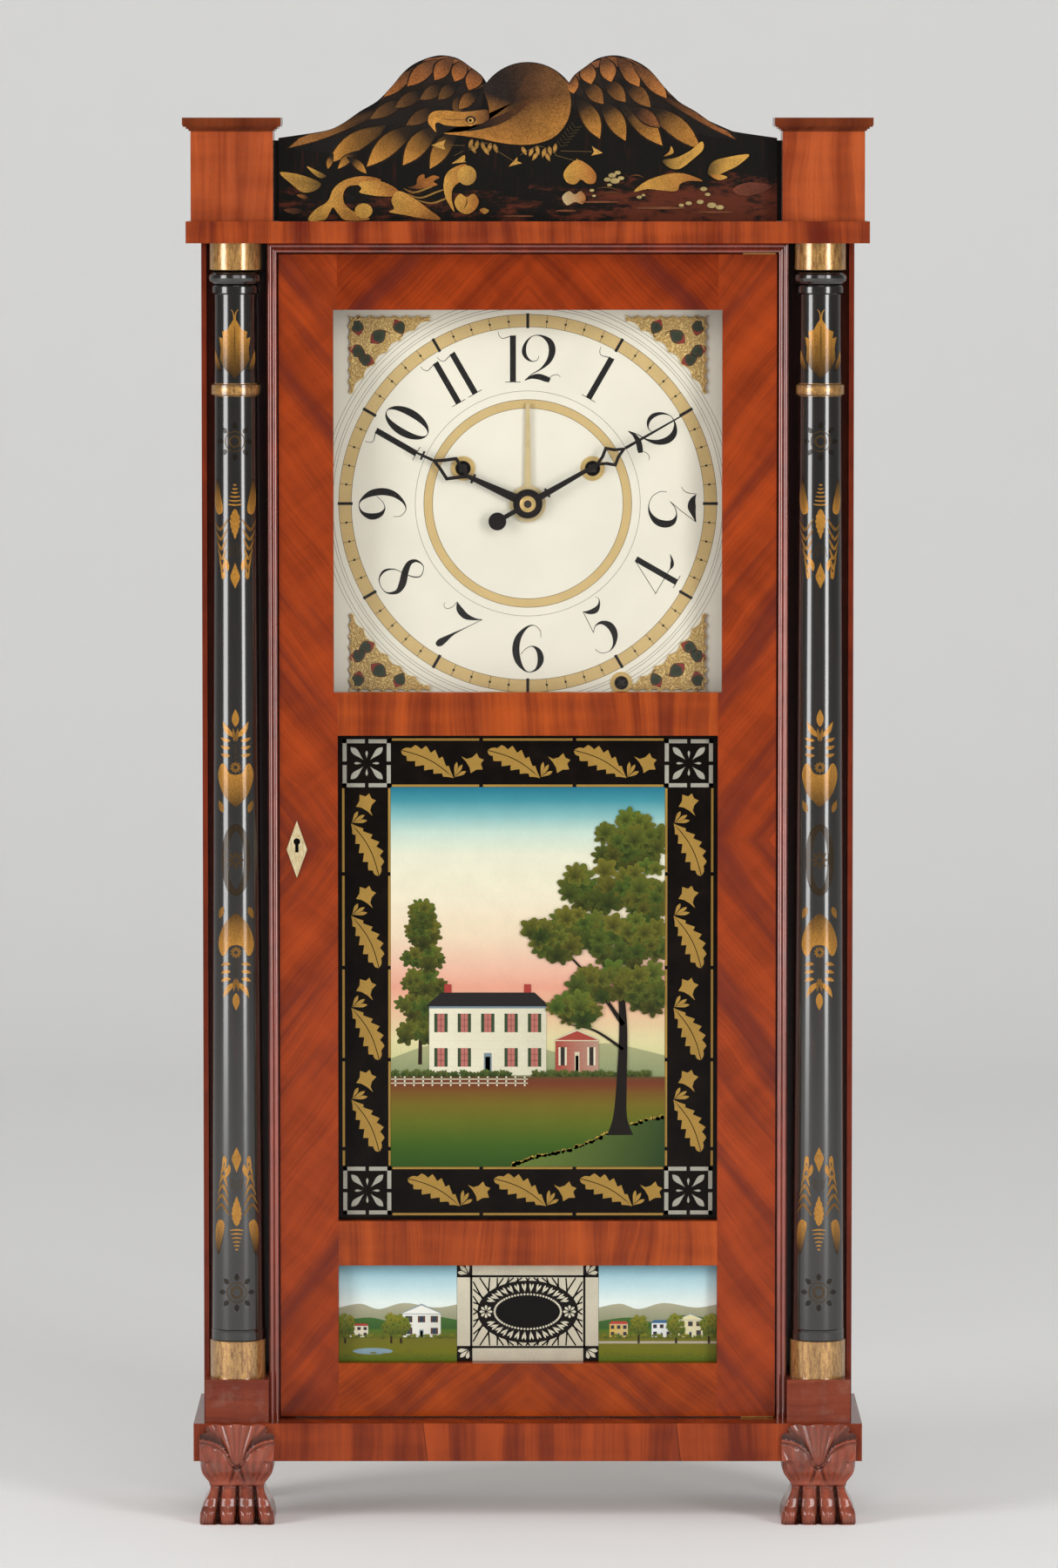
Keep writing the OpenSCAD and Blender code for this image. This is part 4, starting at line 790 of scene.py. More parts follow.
class CLOCK_OT_columns(ClockOperator, bpy.types.Operator):
    """Black columns with turned gold bands and stencilled leaves"""

    bl_idname = "clock.columns"
    bl_label = "Columns"

    def build(self):
        bands = ((93.0, 118.3), (730.4, 738.7), (811.4, 829.5))
        dress(black_paint("column_black", 0.3, bands, beads=((734.5, 3.9),)), "column_left", "column_right")
        stencil = painted_shapes("column_stencil", 0.3, 0.5, 0.75, 0.25, "1a1611", 0.5)
        for side in ("left", "right"):
            low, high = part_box("column_" + side)
            middle = (low.x + high.x) / 2 / MM
            front = low.y / MM + self.radius(SHAFT_FOOT) + 1.0
            art = self.leaves()

            def wrap(co, middle=middle, front=front):
                r = self.radius(co.z / MM)
                angle = co.x / MM / r
                reach = r + CLEAR - co.y / MM
                return Vector((middle + reach * math.sin(angle), front - reach * math.cos(angle),
                               co.z / MM)) * MM
            art.make("column_leaves_" + side, 0.0, "case", stencil, "gilt", wrap)

    def radius(self, z):
        """Radius of the tapered shaft in millimetres."""
        return 17.0 - 3.25 * (z - SHAFT_FOOT) / SHAFT_LENGTH

    def leaves(self):
        """Flower groups and vases with their mirror images, a leaf over the collar and a rosette."""
        art = Painting()
        gold, dull, ground = paint().gold, "4a3820", paint().black
        for sx in (-1, 1):
            art.shape([(0, 742), (0, 781), (sx * 2.6, 777), (sx * 4.6, 773.4), (sx * 8.6, 772),
                       (sx * 7.8, 767.6), (sx * 11.2, 768.6), (sx * 9.6, 761), (sx * 10.4, 754),
                       (sx * 6.6, 748)][::sx], gold, between(gold, ground, 0.9), (0, 768), (0, 748))
            art.shape(feather((sx * 9.4, 746), (sx * 15.6, 760), 4.6, -sx * 1.4), gold, ground,
                      (sx * 15, 758), (sx * 11, 747))
            art.stroke([(sx * 0.3, 780, 0.9), (sx * 0.8, 784, 0.7), (sx * 2.2, 786.2, 0.4)], gold)
        art.over()
        art.stroke([(0, 776, 0.4), (0, 760, 0.9), (0, 748, 0.4)], between(gold, ground, 0.7))
        eighths = [k * math.pi / 8 for k in range(16)]
        for fold in (None, GROUP_FOLD):
            self.flower_group(art, fold, gold, dull, ground)
        for fold in (None, VASE_FOLD):
            self.vase(art, fold, gold, dull, ground)
        halo = [(7.6 * math.cos(a), 431.5 + 21 * math.sin(a), 4.5) for a in eighths]
        art.stroke(halo, between(dull, ground, 0.5), closed=True, steps=3)
        for k in range(8):
            a, b = turned([(0, 1.2), (0, 6.4)], k * 45, (0, 431.5))
            art.shape(feather(a, b, 2.0), dull)
        return art

    def flower_group(self, art, fold, gold, dull, ground):
        """Rosette, chevrons, bell and drooping leaves."""
        def mirror(points):
            return folded(points, fold)
        low, high = mirror([(0, 658), (0, 676)])
        sixths = [k * math.pi / 6 for k in range(12)]
        for r, w in ((6.4, 0.7), (3.4, 1.5)):
            ring = [(r * math.cos(a), 701.5 + r * math.sin(a), w) for a in sixths]
            art.stroke(mirror(ring), dull, closed=True, steps=3)
        for k in range(8):
            petal = turned(feather((0, 7.6), (0, 12.6), 3.2), k * 45, (0, 701.5))
            art.shape(mirror(petal), between(dull, ground, 0.45), ground, mirror([(0, 701.5)])[0],
                      mirror(turned([(0, 14)], k * 45, (0, 701.5)))[0])
        for z, half in ((673.6, 1.0), (671.0, 1.7), (668.6, 2.4), (666.0, 3.2), (663.4, 3.8), (660.8, 4.4)):
            art.stroke(mirror([(-half, z + 0.25, 0.5), (0, z - 0.2, 1.15), (half, z + 0.25, 0.5)]),
                       gold, steps=4)
        bud = []
        for k in range(25):
            t = k / 24
            swell = 3.3 * math.sin(math.pi * t ** 1.35) ** 0.7 if 0 < t < 1 else 0
            bud.append((swell * (1.0 if k % 4 else 0.78), 638.6 + 19.6 * t))
        art.shape(mirror(bud + [(-px, pz) for px, pz in bud[-2:0:-1]]), gold)
        art.shape(mirror([(0, 606.8), (2.9, 613), (3.1, 615), (0, 623.4), (-3.1, 615), (-2.9, 613)]), gold)
        for sx in (-1, 1):
            broad = [(sx * 8.2, 657), (sx * 10.2, 668), (sx * 13.4, 677.5), (sx * 16.4, 668),
                     (sx * 15.6, 659), (sx * 12.2, 654.4)]
            art.shape(mirror(curve_through(broad, 4, True)), gold, between(gold, ground, 0.95), low, high)
            for k in range(6):
                root = (sx * (4.6 + 0.5 * k), 651.5 - 6.4 * k)
                tip = (sx * (16.4 - 1.3 * k), 650.5 - 6.0 * k)
                bow = (sx * (10.6 - 0.5 * k), 644.6 - 6.2 * k)
                art.stroke(mirror([(*tip, 0.5), (*bow, 2.3), (*root, 0.7)]),
                           between(gold, ground, 0.12 * (5 - k)), steps=5)
            art.shape(mirror(feather((sx * 4.6, 618), (sx * 7.8, 627.4), 3.0, sx * 0.6)), gold)
            for k in range(3):
                art.stroke(mirror([(sx * (0.8 + 1.1 * k), 636 - k, 0.3),
                                   (sx * (1.2 + 1.6 * k), 628 - k * 0.5, 0.45)]), dull, steps=2)

    def vase(self, art, fold, gold, dull, ground):
        """Urn with a rosette, paired leaves and a bud."""
        def mirror(points):
            return folded(points, fold)
        brown = between(gold, ground, 0.45)
        art.over()
        urn = [(0, 466), (-4, 469), (-8.4, 474), (-12, 482), (-12.6, 488), (-10, 493.4),
               (-7, 493), (-4.4, 488), (0, 486.6), (4.4, 488), (7, 493), (10, 493.4), (12.6, 488), (12, 482),
               (8.4, 474), (4, 469)]
        art.shape(mirror(curve_through(urn, 3, True)), gold, ground, *mirror([(0, 484), (0, 462)]))
        art.shape(mirror(feather((0, 517.6), (0, 529), 4.6)), gold)
        for sx in (-1, 1):
            art.shape(mirror(feather((sx * 0.8, 511), (sx * 8.8, 521), 3.6, -sx)), gold)
            art.shape(mirror(feather((sx * 0.6, 508), (sx * 1.6, 517), 2.0)), brown)
            for k in range(3):
                art.shape(mirror(feather((sx * 3.4, 508.6 - 4.8 * k), (sx * 10.6, 510.4 - 5.2 * k),
                                         2.5, -sx * 0.5)), between(gold, ground, 0.1 * k))
            art.shape(mirror(feather((sx * 8.5, 462), (sx * 12.2, 470), 4.2)), brown)
        for k in range(10):
            a, b = turned([(0, 1.0), (0, 3.9)], k * 36, (0, 491.4))
            art.shape(mirror(feather(a, b, 1.5)), brown)
        for k in range(6):
            art.stroke(mirror([(-1.6 + 0.1 * k, 497 + 2.0 * k, 0.4), (0, 496 + 2.0 * k, 0.5),
                               (1.6 - 0.1 * k, 497 + 2.0 * k, 0.4)]), dull, steps=2)
        art.coats -= 1


class CLOCK_OT_splat(ClockOperator, bpy.types.Operator):
    """Black splat with its bronze eagle stencil"""

    bl_idname = "clock.splat"
    bl_label = "Splat"

    def build(self):
        dress(black_paint("splat_black", 0.5, patch=(857, 884), dull=True), "splat")
        art = Painting()
        self.wing(art, *LEFT_WING)
        self.wing(art, *RIGHT_WING)
        self.body(art)
        self.branches(art)
        self.scrolls(art)
        corners = sorted({(v.co.x / MM, v.co.z / MM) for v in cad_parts["splat"].data.vertices
                          if v.co.z / MM > 850})
        xs, tops = [x for x, z in corners], [z for x, z in corners]
        margin = 0.5
        for n, (px, pz, coat) in enumerate(art.points):
            x, z = sheet(px, pz)
            x = min(max(x, xs[0] + margin), xs[-1] - margin)
            art.points[n] = (x, min(z, float(np.interp(x, xs, tops)) - margin), coat)
        bronze = painted_shapes("splat_bronze", 0.4, 0.25, 0.6, 0.15, "2a1a12", 0.62)
        low, high = (Vector(v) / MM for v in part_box("splat"))
        art.make("splat_stencil", low.y, "case", bronze, "gilt")
        middle, half, lap, gap = (low.y + high.y) / 2, 2.6, 0.6, 3.1
        sides = [((side * (high.x - lap), middle - half, low.z + 0.1),
                  (side * (high.x + gap), middle + half, tops[0] - 1.5)) for side in (-1, 1)]
        boxes("splat_tongues", sides, "case", black_paint("tongue_black", 0.2, dull=True))

    def wing(self, art, edge, band, rows):
        """A dark wing, its copper upper band and rows of feathers, gilt at the tip and dark at the root."""
        art.shape(edge, "2b211b", "1b1917", (0, 60), (0, 300))
        art.over()
        art.shape(band, "8a5635", "5b3a27", (0, 40), (0, 150))
        for root_tone, tip_tone, feathers in rows:
            art.over()
            for rx, rz, tx, tz, width, bend in feathers:
                art.coats += 0.2
                root, tip = (rx, rz), (tx, tz)
                art.shape(feather(root, tip, width + 3, bend, 0.58), "17130f", "2a1d12", root, tip)
                art.coats += 0.2
                end = between(tip, root, 0.03)
                art.shape(feather(root, end, width * 0.86, bend, 0.58), root_tone, tip_tone,
                          between(root, tip, 0.3), between(root, tip, 0.92))

    def body(self, art):
        """Breast, neck, hooked beak and eye."""
        bronze, gold, dark, ground = "9a5c2a", "c4883e", "2d2522", "1b1917"
        art.over()
        chest = curve_through([(655, 128), (690, 92), (735, 66), (785, 58), (840, 70), (884, 98),
                               (908, 140), (914, 190), (900, 238), (868, 276), (822, 296), (770, 302),
                               (706, 296), (650, 284), (600, 276), (538, 268), (600, 262), (650, 244),
                               (672, 214), (668, 176)], 5, True)

        def shade(x, z):
            right = min(1, max(0, (x - 700) / 200))
            low = min(1, max(0, (z - 145) / 125))
            rim = between(dark, between(bronze, gold, right * 0.5), min(1, low + right * 0.35))
            return between(rim, gold, low * 0.6)
        middle = art.corner(742, 178, "2c1f19")
        edge = [art.corner(x, z, shade(x, z)) for x, z in chest]
        rows = [edge]
        for share in (0.3, 0.62):
            rows.append([art.corner(*between((x, z), (742, 178), share),
                                    between(shade(x, z), "4a2f1e" if x > 800 else "2b211b", share))
                         for x, z in chest])
        for outer, inner in zip(rows, rows[1:]):
            for k in range(len(edge)):
                n = (k + 1) % len(edge)
                art.faces.append([outer[k], outer[n], inner[n], inner[k]])
        for a, b in zip(rows[-1], rows[-1][1:] + rows[-1][:1]):
            art.faces.append([middle, a, b])
        art.over()
        head = curve_through([(668, 200), (630, 202), (590, 205), (545, 201), (512, 203),
                              (495, 216), (493, 236), (504, 252), (516, 264), (513, 243), (522, 236),
                              (544, 244), (585, 248), (628, 244), (668, 232)], 4, True)
        art.shape(head, gold, between(dark, bronze, 0.3), (560, 220), (672, 214))
        art.over()
        nape = curve_through([(604, 262), (650, 256), (712, 238), (768, 200), (812, 150),
                              (780, 172), (728, 204), (676, 226), (640, 246)], 4, True)
        art.shape(nape, ground, between(ground, bronze, 0.35), (640, 240), (800, 160))
        art.over()
        art.stroke([(530, 224, 1.0), (570, 229, 2.2), (606, 226, 1.0)], between(dark, bronze, 0.3))
        art.over()
        art.stroke([(602, 234, 1.6), (618, 246, 3.0), (636, 232, 1.6)], gold)
        art.over()
        art.shape(oval(618, 228, 15, 11), dark)
        art.over()
        art.shape(oval(618, 230, 9, 8), "cf9c4e")
        art.over()
        art.shape(oval(617, 230, 4.6, 4.6), ground)

    def branches(self, art):
        """Arrows and oval leaves under the breast."""
        gold, line = "c4944a", "6d5836"
        for x0, z0, x1, z1 in ((600, 304, 548, 303), (700, 322, 748, 352), (884, 320, 976, 322),
                               (866, 332, 930, 350), (596, 320, 570, 334)):
            art.stroke([(x0, z0, 1.6), (x1, z1, 1.8)], line, steps=2)
        for points in (((502, 303), (544, 288), (538, 302), (545, 318)),
                       ((730, 366), (756, 338), (756, 350), (770, 356)),
                       ((1008, 326), (976, 306), (982, 322), (974, 334)),
                       ((960, 362), (930, 342), (934, 352), (924, 358)),
                       ((562, 358), (596, 332), (594, 346), (606, 352))):
            art.shape(list(points), gold)
        for x, z, lean in ((618, 299, -20), (636, 303, -10), (655, 307, 14), (674, 310, -14), (692, 313, 20),
                           (776, 320, 30), (796, 324, -22), (816, 318, 16), (834, 326, -16), (852, 320, 12),
                           (867, 312, -10), (626, 315, 30), (664, 320, 34), (808, 336, -34), (846, 338, 26)):
            art.coats += 0.2
            art.bloom(turned(feather((0, -15), (0, 15), 13), lean, (x, z)), gold, "8a6433")
        art.over()
        art.stroke([(612, 318, 1.4), (660, 296, 1.6), (704, 324, 1.4)], line)
        art.stroke([(764, 332, 1.4), (820, 306, 1.6), (872, 330, 1.4)], line)
        for k in range(7):
            x, z = 884 + k * 7, 306 - k * 9
            art.stroke([(x, z, 1.2), (x - 10, z - 16, 2.4)], "4d4027", steps=2)
            art.stroke([(x, z, 1.2), (x + 20, z - 4, 2.4)], "4d4027", steps=2)

    def scrolls(self, art):
        """Leaf scrolls, hearts and berries along the foot of the splat."""
        gold, copper, ground = "cc9a48", "a2642e", "1b1917"

        def leaf(points, a=gold, b=copper, start=None, end=None):
            art.coats += 0.2
            outline = curve_through(points, 4, True)
            xs = [q[0] for q in points]
            art.shape(outline, a, b, start or (min(xs), 0), end or (max(xs), 0))
        leaf([(54, 384), (96, 386), (140, 398), (176, 416), (160, 436), (124, 442), (92, 420)], gold, ground,
             (90, 400), (190, 420))
        leaf([(134, 366), (160, 376), (192, 394), (168, 398)], gold, ground, (140, 370), (196, 400))
        leaf([(104, 450), (124, 448), (140, 458), (126, 462)], copper, ground)
        leaf([(66, 494), (96, 488), (124, 496), (96, 506)], "7a4a30", ground)
        leaf([(138, 524), (160, 492), (196, 468), (214, 430), (250, 404), (304, 394), (352, 404),
              (336, 414), (292, 420), (258, 424), (242, 446), (246, 476), (272, 498), (300, 508), (318, 522),
              (250, 524), (226, 504), (212, 486), (200, 504), (186, 523)])
        leaf([(286, 416), (318, 408), (362, 412), (404, 436), (396, 452), (360, 454), (322, 450),
              (290, 442), (296, 430)], gold, copper)
        leaf([(404, 438), (446, 456), (492, 490), (530, 522), (470, 518), (430, 510), (378, 500),
              (392, 490), (384, 464)], gold, copper)
        art.over()
        art.shape(oval(302, 496, 26, 22), gold)
        art.shape(oval(262, 462, 16, 13), ground)
        art.over()
        for points in (((420, 430), (450, 442), (490, 430), (516, 420)),
                       ((430, 446), (470, 458), (520, 440), (546, 432)),
                       ((452, 462), (500, 474), (540, 462), (560, 452))):
            art.stroke([(x, z, w) for (x, z), w in zip(points, (1, 5, 5, 1))], between(gold, ground, 0.55))
        leaf([(430, 428), (456, 420), (462, 398), (480, 388), (484, 402), (506, 392), (526, 398),
              (508, 410), (520, 420), (486, 428), (462, 432)], copper, ground, (470, 400), (440, 440))
        art.over()
        leaf([(608, 362), (574, 366), (546, 388), (538, 424), (546, 462), (570, 500), (562, 462),
              (566, 430), (586, 412), (604, 416)], gold, copper)
        art.over()
        art.shape(oval(607, 392, 28, 29), gold, "8f6a38", (590, 370), (640, 420))
        leaf([(564, 354), (584, 348), (600, 332), (598, 350)], gold, gold)
        leaf([(570, 470), (586, 446), (606, 456), (626, 446), (642, 466), (632, 492), (608, 506),
              (582, 496)], gold, copper)
        art.over()
        art.stroke([(606, 456, 1), (606, 474, 3), (598, 490, 1)], ground)
        leaf([(644, 494), (658, 488), (672, 496), (658, 506)], copper, gold)
        leaf([(934, 346), (966, 362), (988, 388), (984, 414), (962, 416), (944, 404), (926, 418),
              (902, 412), (892, 388), (908, 362)], gold, copper)
        leaf([(888, 456), (908, 438), (926, 448), (944, 438), (958, 458), (948, 476), (926, 470), (902, 480)],
             "cdb687", copper)
        for x, z, r in ((1022, 404, 9), (1036, 392, 10), (1052, 384, 8), (1044, 408, 12), (1062, 400, 8),
                        (1028, 420, 6), (976, 436, 6), (982, 452, 5), (1116, 456, 7), (1128, 450, 5),
                        (1306, 432, 9), (1318, 448, 7), (1296, 470, 9), (1330, 480, 12), (1354, 486, 10),
                        (1240, 480, 7), (1262, 474, 8)):
            art.coats += 0.2
            art.shape(oval(x, z, r * 1.2, r * 0.7, 9), "b7a06a")
        for x0, z0, x1, z1 in ((990, 430, 1060, 438), (1000, 444, 1070, 448), (1088, 394, 1130, 398)):
            art.stroke([(x0, z0, 1), (between(x0, x1, 0.5), z0 - 3, 4), (x1, z1, 1)], "5e3d22")
        leaf([(1100, 440), (1134, 410), (1190, 390), (1246, 386), (1304, 408), (1262, 408),
              (1236, 418), (1226, 438), (1180, 436), (1140, 432)], gold, copper)
        leaf([(1184, 348), (1224, 340), (1268, 318), (1300, 292), (1304, 316), (1272, 346),
              (1236, 372), (1206, 370)], ground, gold, (1180, 0), (1240, 0))
        leaf([(1188, 336), (1204, 322), (1210, 306), (1216, 326)], copper, gold)
        leaf([(1318, 386), (1330, 354), (1368, 340), (1440, 330), (1408, 362), (1372, 380), (1340, 394)],
             ground, gold, (1310, 0), (1372, 0))
        leaf([(1326, 392), (1356, 390), (1376, 398), (1350, 406)], copper, gold)
        leaf([(1394, 430), (1440, 412), (1508, 422), (1484, 440), (1440, 452), (1406, 448)],
             "7c4430", "5f3226")
        for x, z, w, h in ((1000, 470, 120, 3), (1180, 488, 150, 4), (1340, 500, 110, 3), (900, 496, 60, 3),
                           (760, 512, 90, 3)):
            art.shape(oval(x, z, w / 2, h, 14), "7a4a30")


# One unit of the splat's drawing, and the place of the drawing's upper left corner
SPLAT_UNIT = 0.2179
SPLAT_LEFT = -171.4
SPLAT_TOP = 957.6


def sheet(x, z):
    """Place of a point of the splat's drawing, whose units run right and down."""
    return SPLAT_LEFT + x * SPLAT_UNIT, SPLAT_TOP - z * SPLAT_UNIT


# A wing's edge, its upper band, and rows of feathers. Each row has a colour at the root, a colour at the tip
# and feathers as root, tip, width and bend
LEFT_WING = (
    [(655, 150), (650, 100), (630, 62), (590, 44), (545, 38), (490, 50), (440, 82), (390, 130), (340, 190),
     (290, 232), (230, 262), (150, 284), (70, 308), (130, 320), (210, 326), (300, 310), (380, 300),
     (480, 290), (560, 262), (606, 210), (650, 190)],
    [(655, 130), (648, 84), (626, 58), (590, 42), (545, 36), (490, 48), (440, 80), (390, 128), (352, 172),
     (400, 140), (445, 104), (495, 78), (545, 70), (590, 76), (618, 100), (630, 140)],
    (
        ("1b1917", "c98a3c", (
            (590, 250, 495, 376, 56, 8), (540, 236, 414, 366, 66, 10), (480, 236, 306, 370, 68, 12),
            (400, 240, 188, 360, 62, 14), (290, 318, 224, 374, 26, 4), (250, 336, 312, 388, 26, -4),
            (214, 326, 196, 374, 20, 3))),
        ("231b17", "a8703a", ((400, 196, 72, 314, 56, 16),)),
        ("1b1917", "6e4a28", (
            (540, 190, 424, 246, 44, 4), (450, 164, 316, 228, 42, 4), (610, 150, 568, 210, 46, 4),
            (500, 140, 392, 194, 42, 4), (560, 124, 466, 170, 42, 4), (590, 120, 520, 170, 40, 4))),
        ("1b1917", "97622e", ((650, 140, 580, 198, 42, 4),)),
        ("5f3d28", "ad6832", (
            (470, 76, 358, 164, 44, 6), (536, 48, 428, 132, 52, 6), (570, 40, 510, 114, 52, 4),
            (606, 46, 570, 118, 52, 2), (640, 62, 612, 144, 56, -4))),
    ),
)
RIGHT_WING = (
    [(900, 140), (926, 82), (975, 46), (1030, 36), (1085, 46), (1130, 74), (1190, 130), (1240, 180),
     (1300, 222), (1400, 266), (1410, 288), (1330, 280), (1240, 262), (1150, 250), (1050, 236), (960, 214),
     (916, 190)],
    [(898, 136), (924, 80), (975, 44), (1030, 34), (1088, 45), (1135, 76), (1195, 130), (1216, 156),
     (1180, 144), (1130, 104), (1085, 78), (1030, 68), (980, 76), (945, 100), (925, 140)],
    (
        ("1b1917", "c4853a", (
            (920, 150, 1002, 288, 60, -8), (990, 160, 1078, 294, 60, -8), (1040, 170, 1188, 308, 66, -10),
            (1110, 180, 1304, 320, 66, -12))),
        ("231b17", "9a5f34", (
            (1110, 130, 1408, 290, 50, -18), (1080, 186, 1180, 252, 44, -4))),
        ("1b1917", "93602f", (
            (940, 110, 1012, 184, 50, -4), (1000, 104, 1078, 178, 50, -4), (1056, 108, 1152, 194, 52, -5))),
        ("5f3d28", "bb763a", (
            (914, 78, 922, 154, 50, 4), (956, 48, 974, 126, 54, 2), (1004, 36, 1034, 120, 54, -3),
            (1046, 42, 1118, 134, 54, -5), (1092, 64, 1200, 168, 52, -7))),
    ),
)


def ramp(value, low, high):
    """0 below low, 1 above high and a straight rise between."""
    return np.clip((value - low) / (high - low), 0, 1)


def groove(distance, width):
    """Round groove, 1 deep where the distance is 0."""
    return np.exp(-(distance / width) ** 2)


class CLOCK_OT_feet(ClockOperator, bpy.types.Operator):
    """Carved paw feet"""

    bl_idname = "clock.feet"
    bl_label = "Feet"

    def build(self):
        pale, deep = wood().carved, "74372a"
        carved = polished("carved_wood_groove_shade", upright, 80.0, pale, deep, dust=0.25, cut=True, smoke=0.2, coat=0.8)
        dress(polished("plain_foot", upright, 80.0, pale, deep), "paw_feet")
        feet = bpy.data.objects.new("carved_feet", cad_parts["paw_feet"].data.copy())
        bpy.context.scene.collection.objects.link(feet)
        feet.matrix_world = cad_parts["paw_feet"].matrix_world.copy()
        fine = feet.modifiers.new("fine", "REMESH")
        fine.mode = "VOXEL"
        fine.voxel_size = 0.7 * MM
        smooth = feet.modifiers.new("smooth", "SMOOTH")
        smooth.iterations = 4
        bpy.context.view_layer.update()
        mesh = bpy.data.meshes.new_from_object(feet.evaluated_get(bpy.context.evaluated_depsgraph_get()))
        feet.modifiers.clear()
        feet.data = mesh
        low, high = (Vector(v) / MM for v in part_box("paw_feet"))
        half_foot = 24.4
        middle = (high.x - low.x) / 2 - half_foot
        count = len(mesh.vertices)
        place, facing = np.empty(count * 3), np.empty(count * 3)
        mesh.vertices.foreach_get("co", place)
        mesh.vertices.foreach_get("normal", facing)
        place, facing = place.reshape(-1, 3), facing.reshape(-1, 3)
        turn = np.array(feet.matrix_world.to_3x3())
        world = place @ turn.T + np.array(feet.matrix_world.translation)
        normal = facing @ turn.T
        x, z = np.abs(world[:, 0]) / MM - middle, world[:, 2] / MM
        depth = self.relief(x, z) * np.clip((-normal[:, 1] - 0.12) / 0.5, 0, 1)
        world[:, 1] = np.maximum(world[:, 1] + depth * MM, low.y * MM)
        world[:, 2] = np.maximum(world[:, 2], low.z * MM)
        place = (world - np.array(feet.matrix_world.translation)) @ turn
        mesh.vertices.foreach_set("co", place.ravel())
        # Painted shade, with some grime: the colour darkens with the depth of the carving, most in the
        # grooves
        shade = np.ones((count, 4))
        shade[:, :3] = np.clip(1.12 - depth * 0.36, 0.2, 1.12)[:, None]
        tints = mesh.color_attributes.new(TINTS, "FLOAT_COLOR", "POINT")
        tints.data.foreach_set("color", shade.ravel())
        mesh.shade_smooth()
        mesh.materials.clear()
        mesh.materials.append(carved)
        mesh.update()
        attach(feet, "case")
        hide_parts("paw_feet")

    def relief(self, x, z):
        """Depth cut into the front of a foot, in millimetres, at x from its middle and height z."""
        side = np.abs(x)
        rim = np.interp(side, [0, 3.2, 4.6, 6.2, 8.4, 11, 14.5, 18.5, 22, 25],
                        [38.5, 40.5, 42.8, 46.6, 49.8, 52, 53.9, 55.2, 55.9, 56])
        fan = np.interp(side, [0, 3.4, 4.8, 7, 10, 14, 18, 21, 25],
                        [37.5, 40.5, 44.5, 50.5, 55.2, 59.4, 62.4, 64.6, 67])
        inside_fan = z > fan
        above_rim = (z > rim) & ~inside_fan
        leaf = z <= rim
        spread = np.degrees(np.arctan2(side, np.maximum(z - 33.0, 1)))
        ribs = 0.5 - 0.5 * np.cos(np.radians(spread * 38))
        depth = np.where(inside_fan, 0.35 + 0.85 * ribs + 0.8 * ramp(fan + 2.0 - z, 0, 2.0), 0.0)
        depth += np.where(above_rim, 2.7 - 0.9 * ramp(z - rim, 0, 5), 0.0)
        vein = np.degrees(np.arctan2(side - 8.6, np.maximum(z - 17.0, 1)))
        veins = 0.5 - 0.5 * np.cos(np.radians(vein * 26))
        hold = ramp(rim - z, 1.0, 5.0) * ramp(z, 25, 31)
        depth += np.where(leaf, 1.5 * groove(rim - z - 2.6, 1.0) + 0.75 * veins * hold, 0.0)
        depth += np.where(leaf,
                          1.2 * groove(side - np.interp(z, [22, 40], [5.5, 1.0]), 1.1) * ramp(z, 24, 28), 0.0)
        toe = ramp(24.5 - z, 0, 2.5)
        outer = np.interp(z, [0, 4, 12, 24], [13.0, 12.9, 12.2, 10.9])
        wide = 1 + 1.5 * ramp(9.0 - z, 0, 8)
        gap = 3.4 * groove(side, 0.75 * wide) + 3.4 * groove(side - outer, 0.85 * wide)
        middle = np.where(side < outer, outer / 2, outer + 5.2)
        flat = np.abs(side - middle)
        depth += toe * gap
        depth += 1.3 * groove(z - 23.8, 1.1)
        depth += toe * (0.5 * groove(z - 9.6, 2.6) + 0.22 * flat ** 1.25 * (0.35 + 0.65 * ramp(z, 6, 12)))
        depth += 1.6 * ramp(4.5 - z, 0, 4.5) ** 2
        claw = 0.5 - 0.5 * np.cos(2 * np.pi * (side - middle) / (2.1 - 0.05 * z) + 0.6)
        depth += ramp(8.0 - z, 0, 3) * 0.8 * claw * ramp(z, 0.4, 1.6)
        return depth


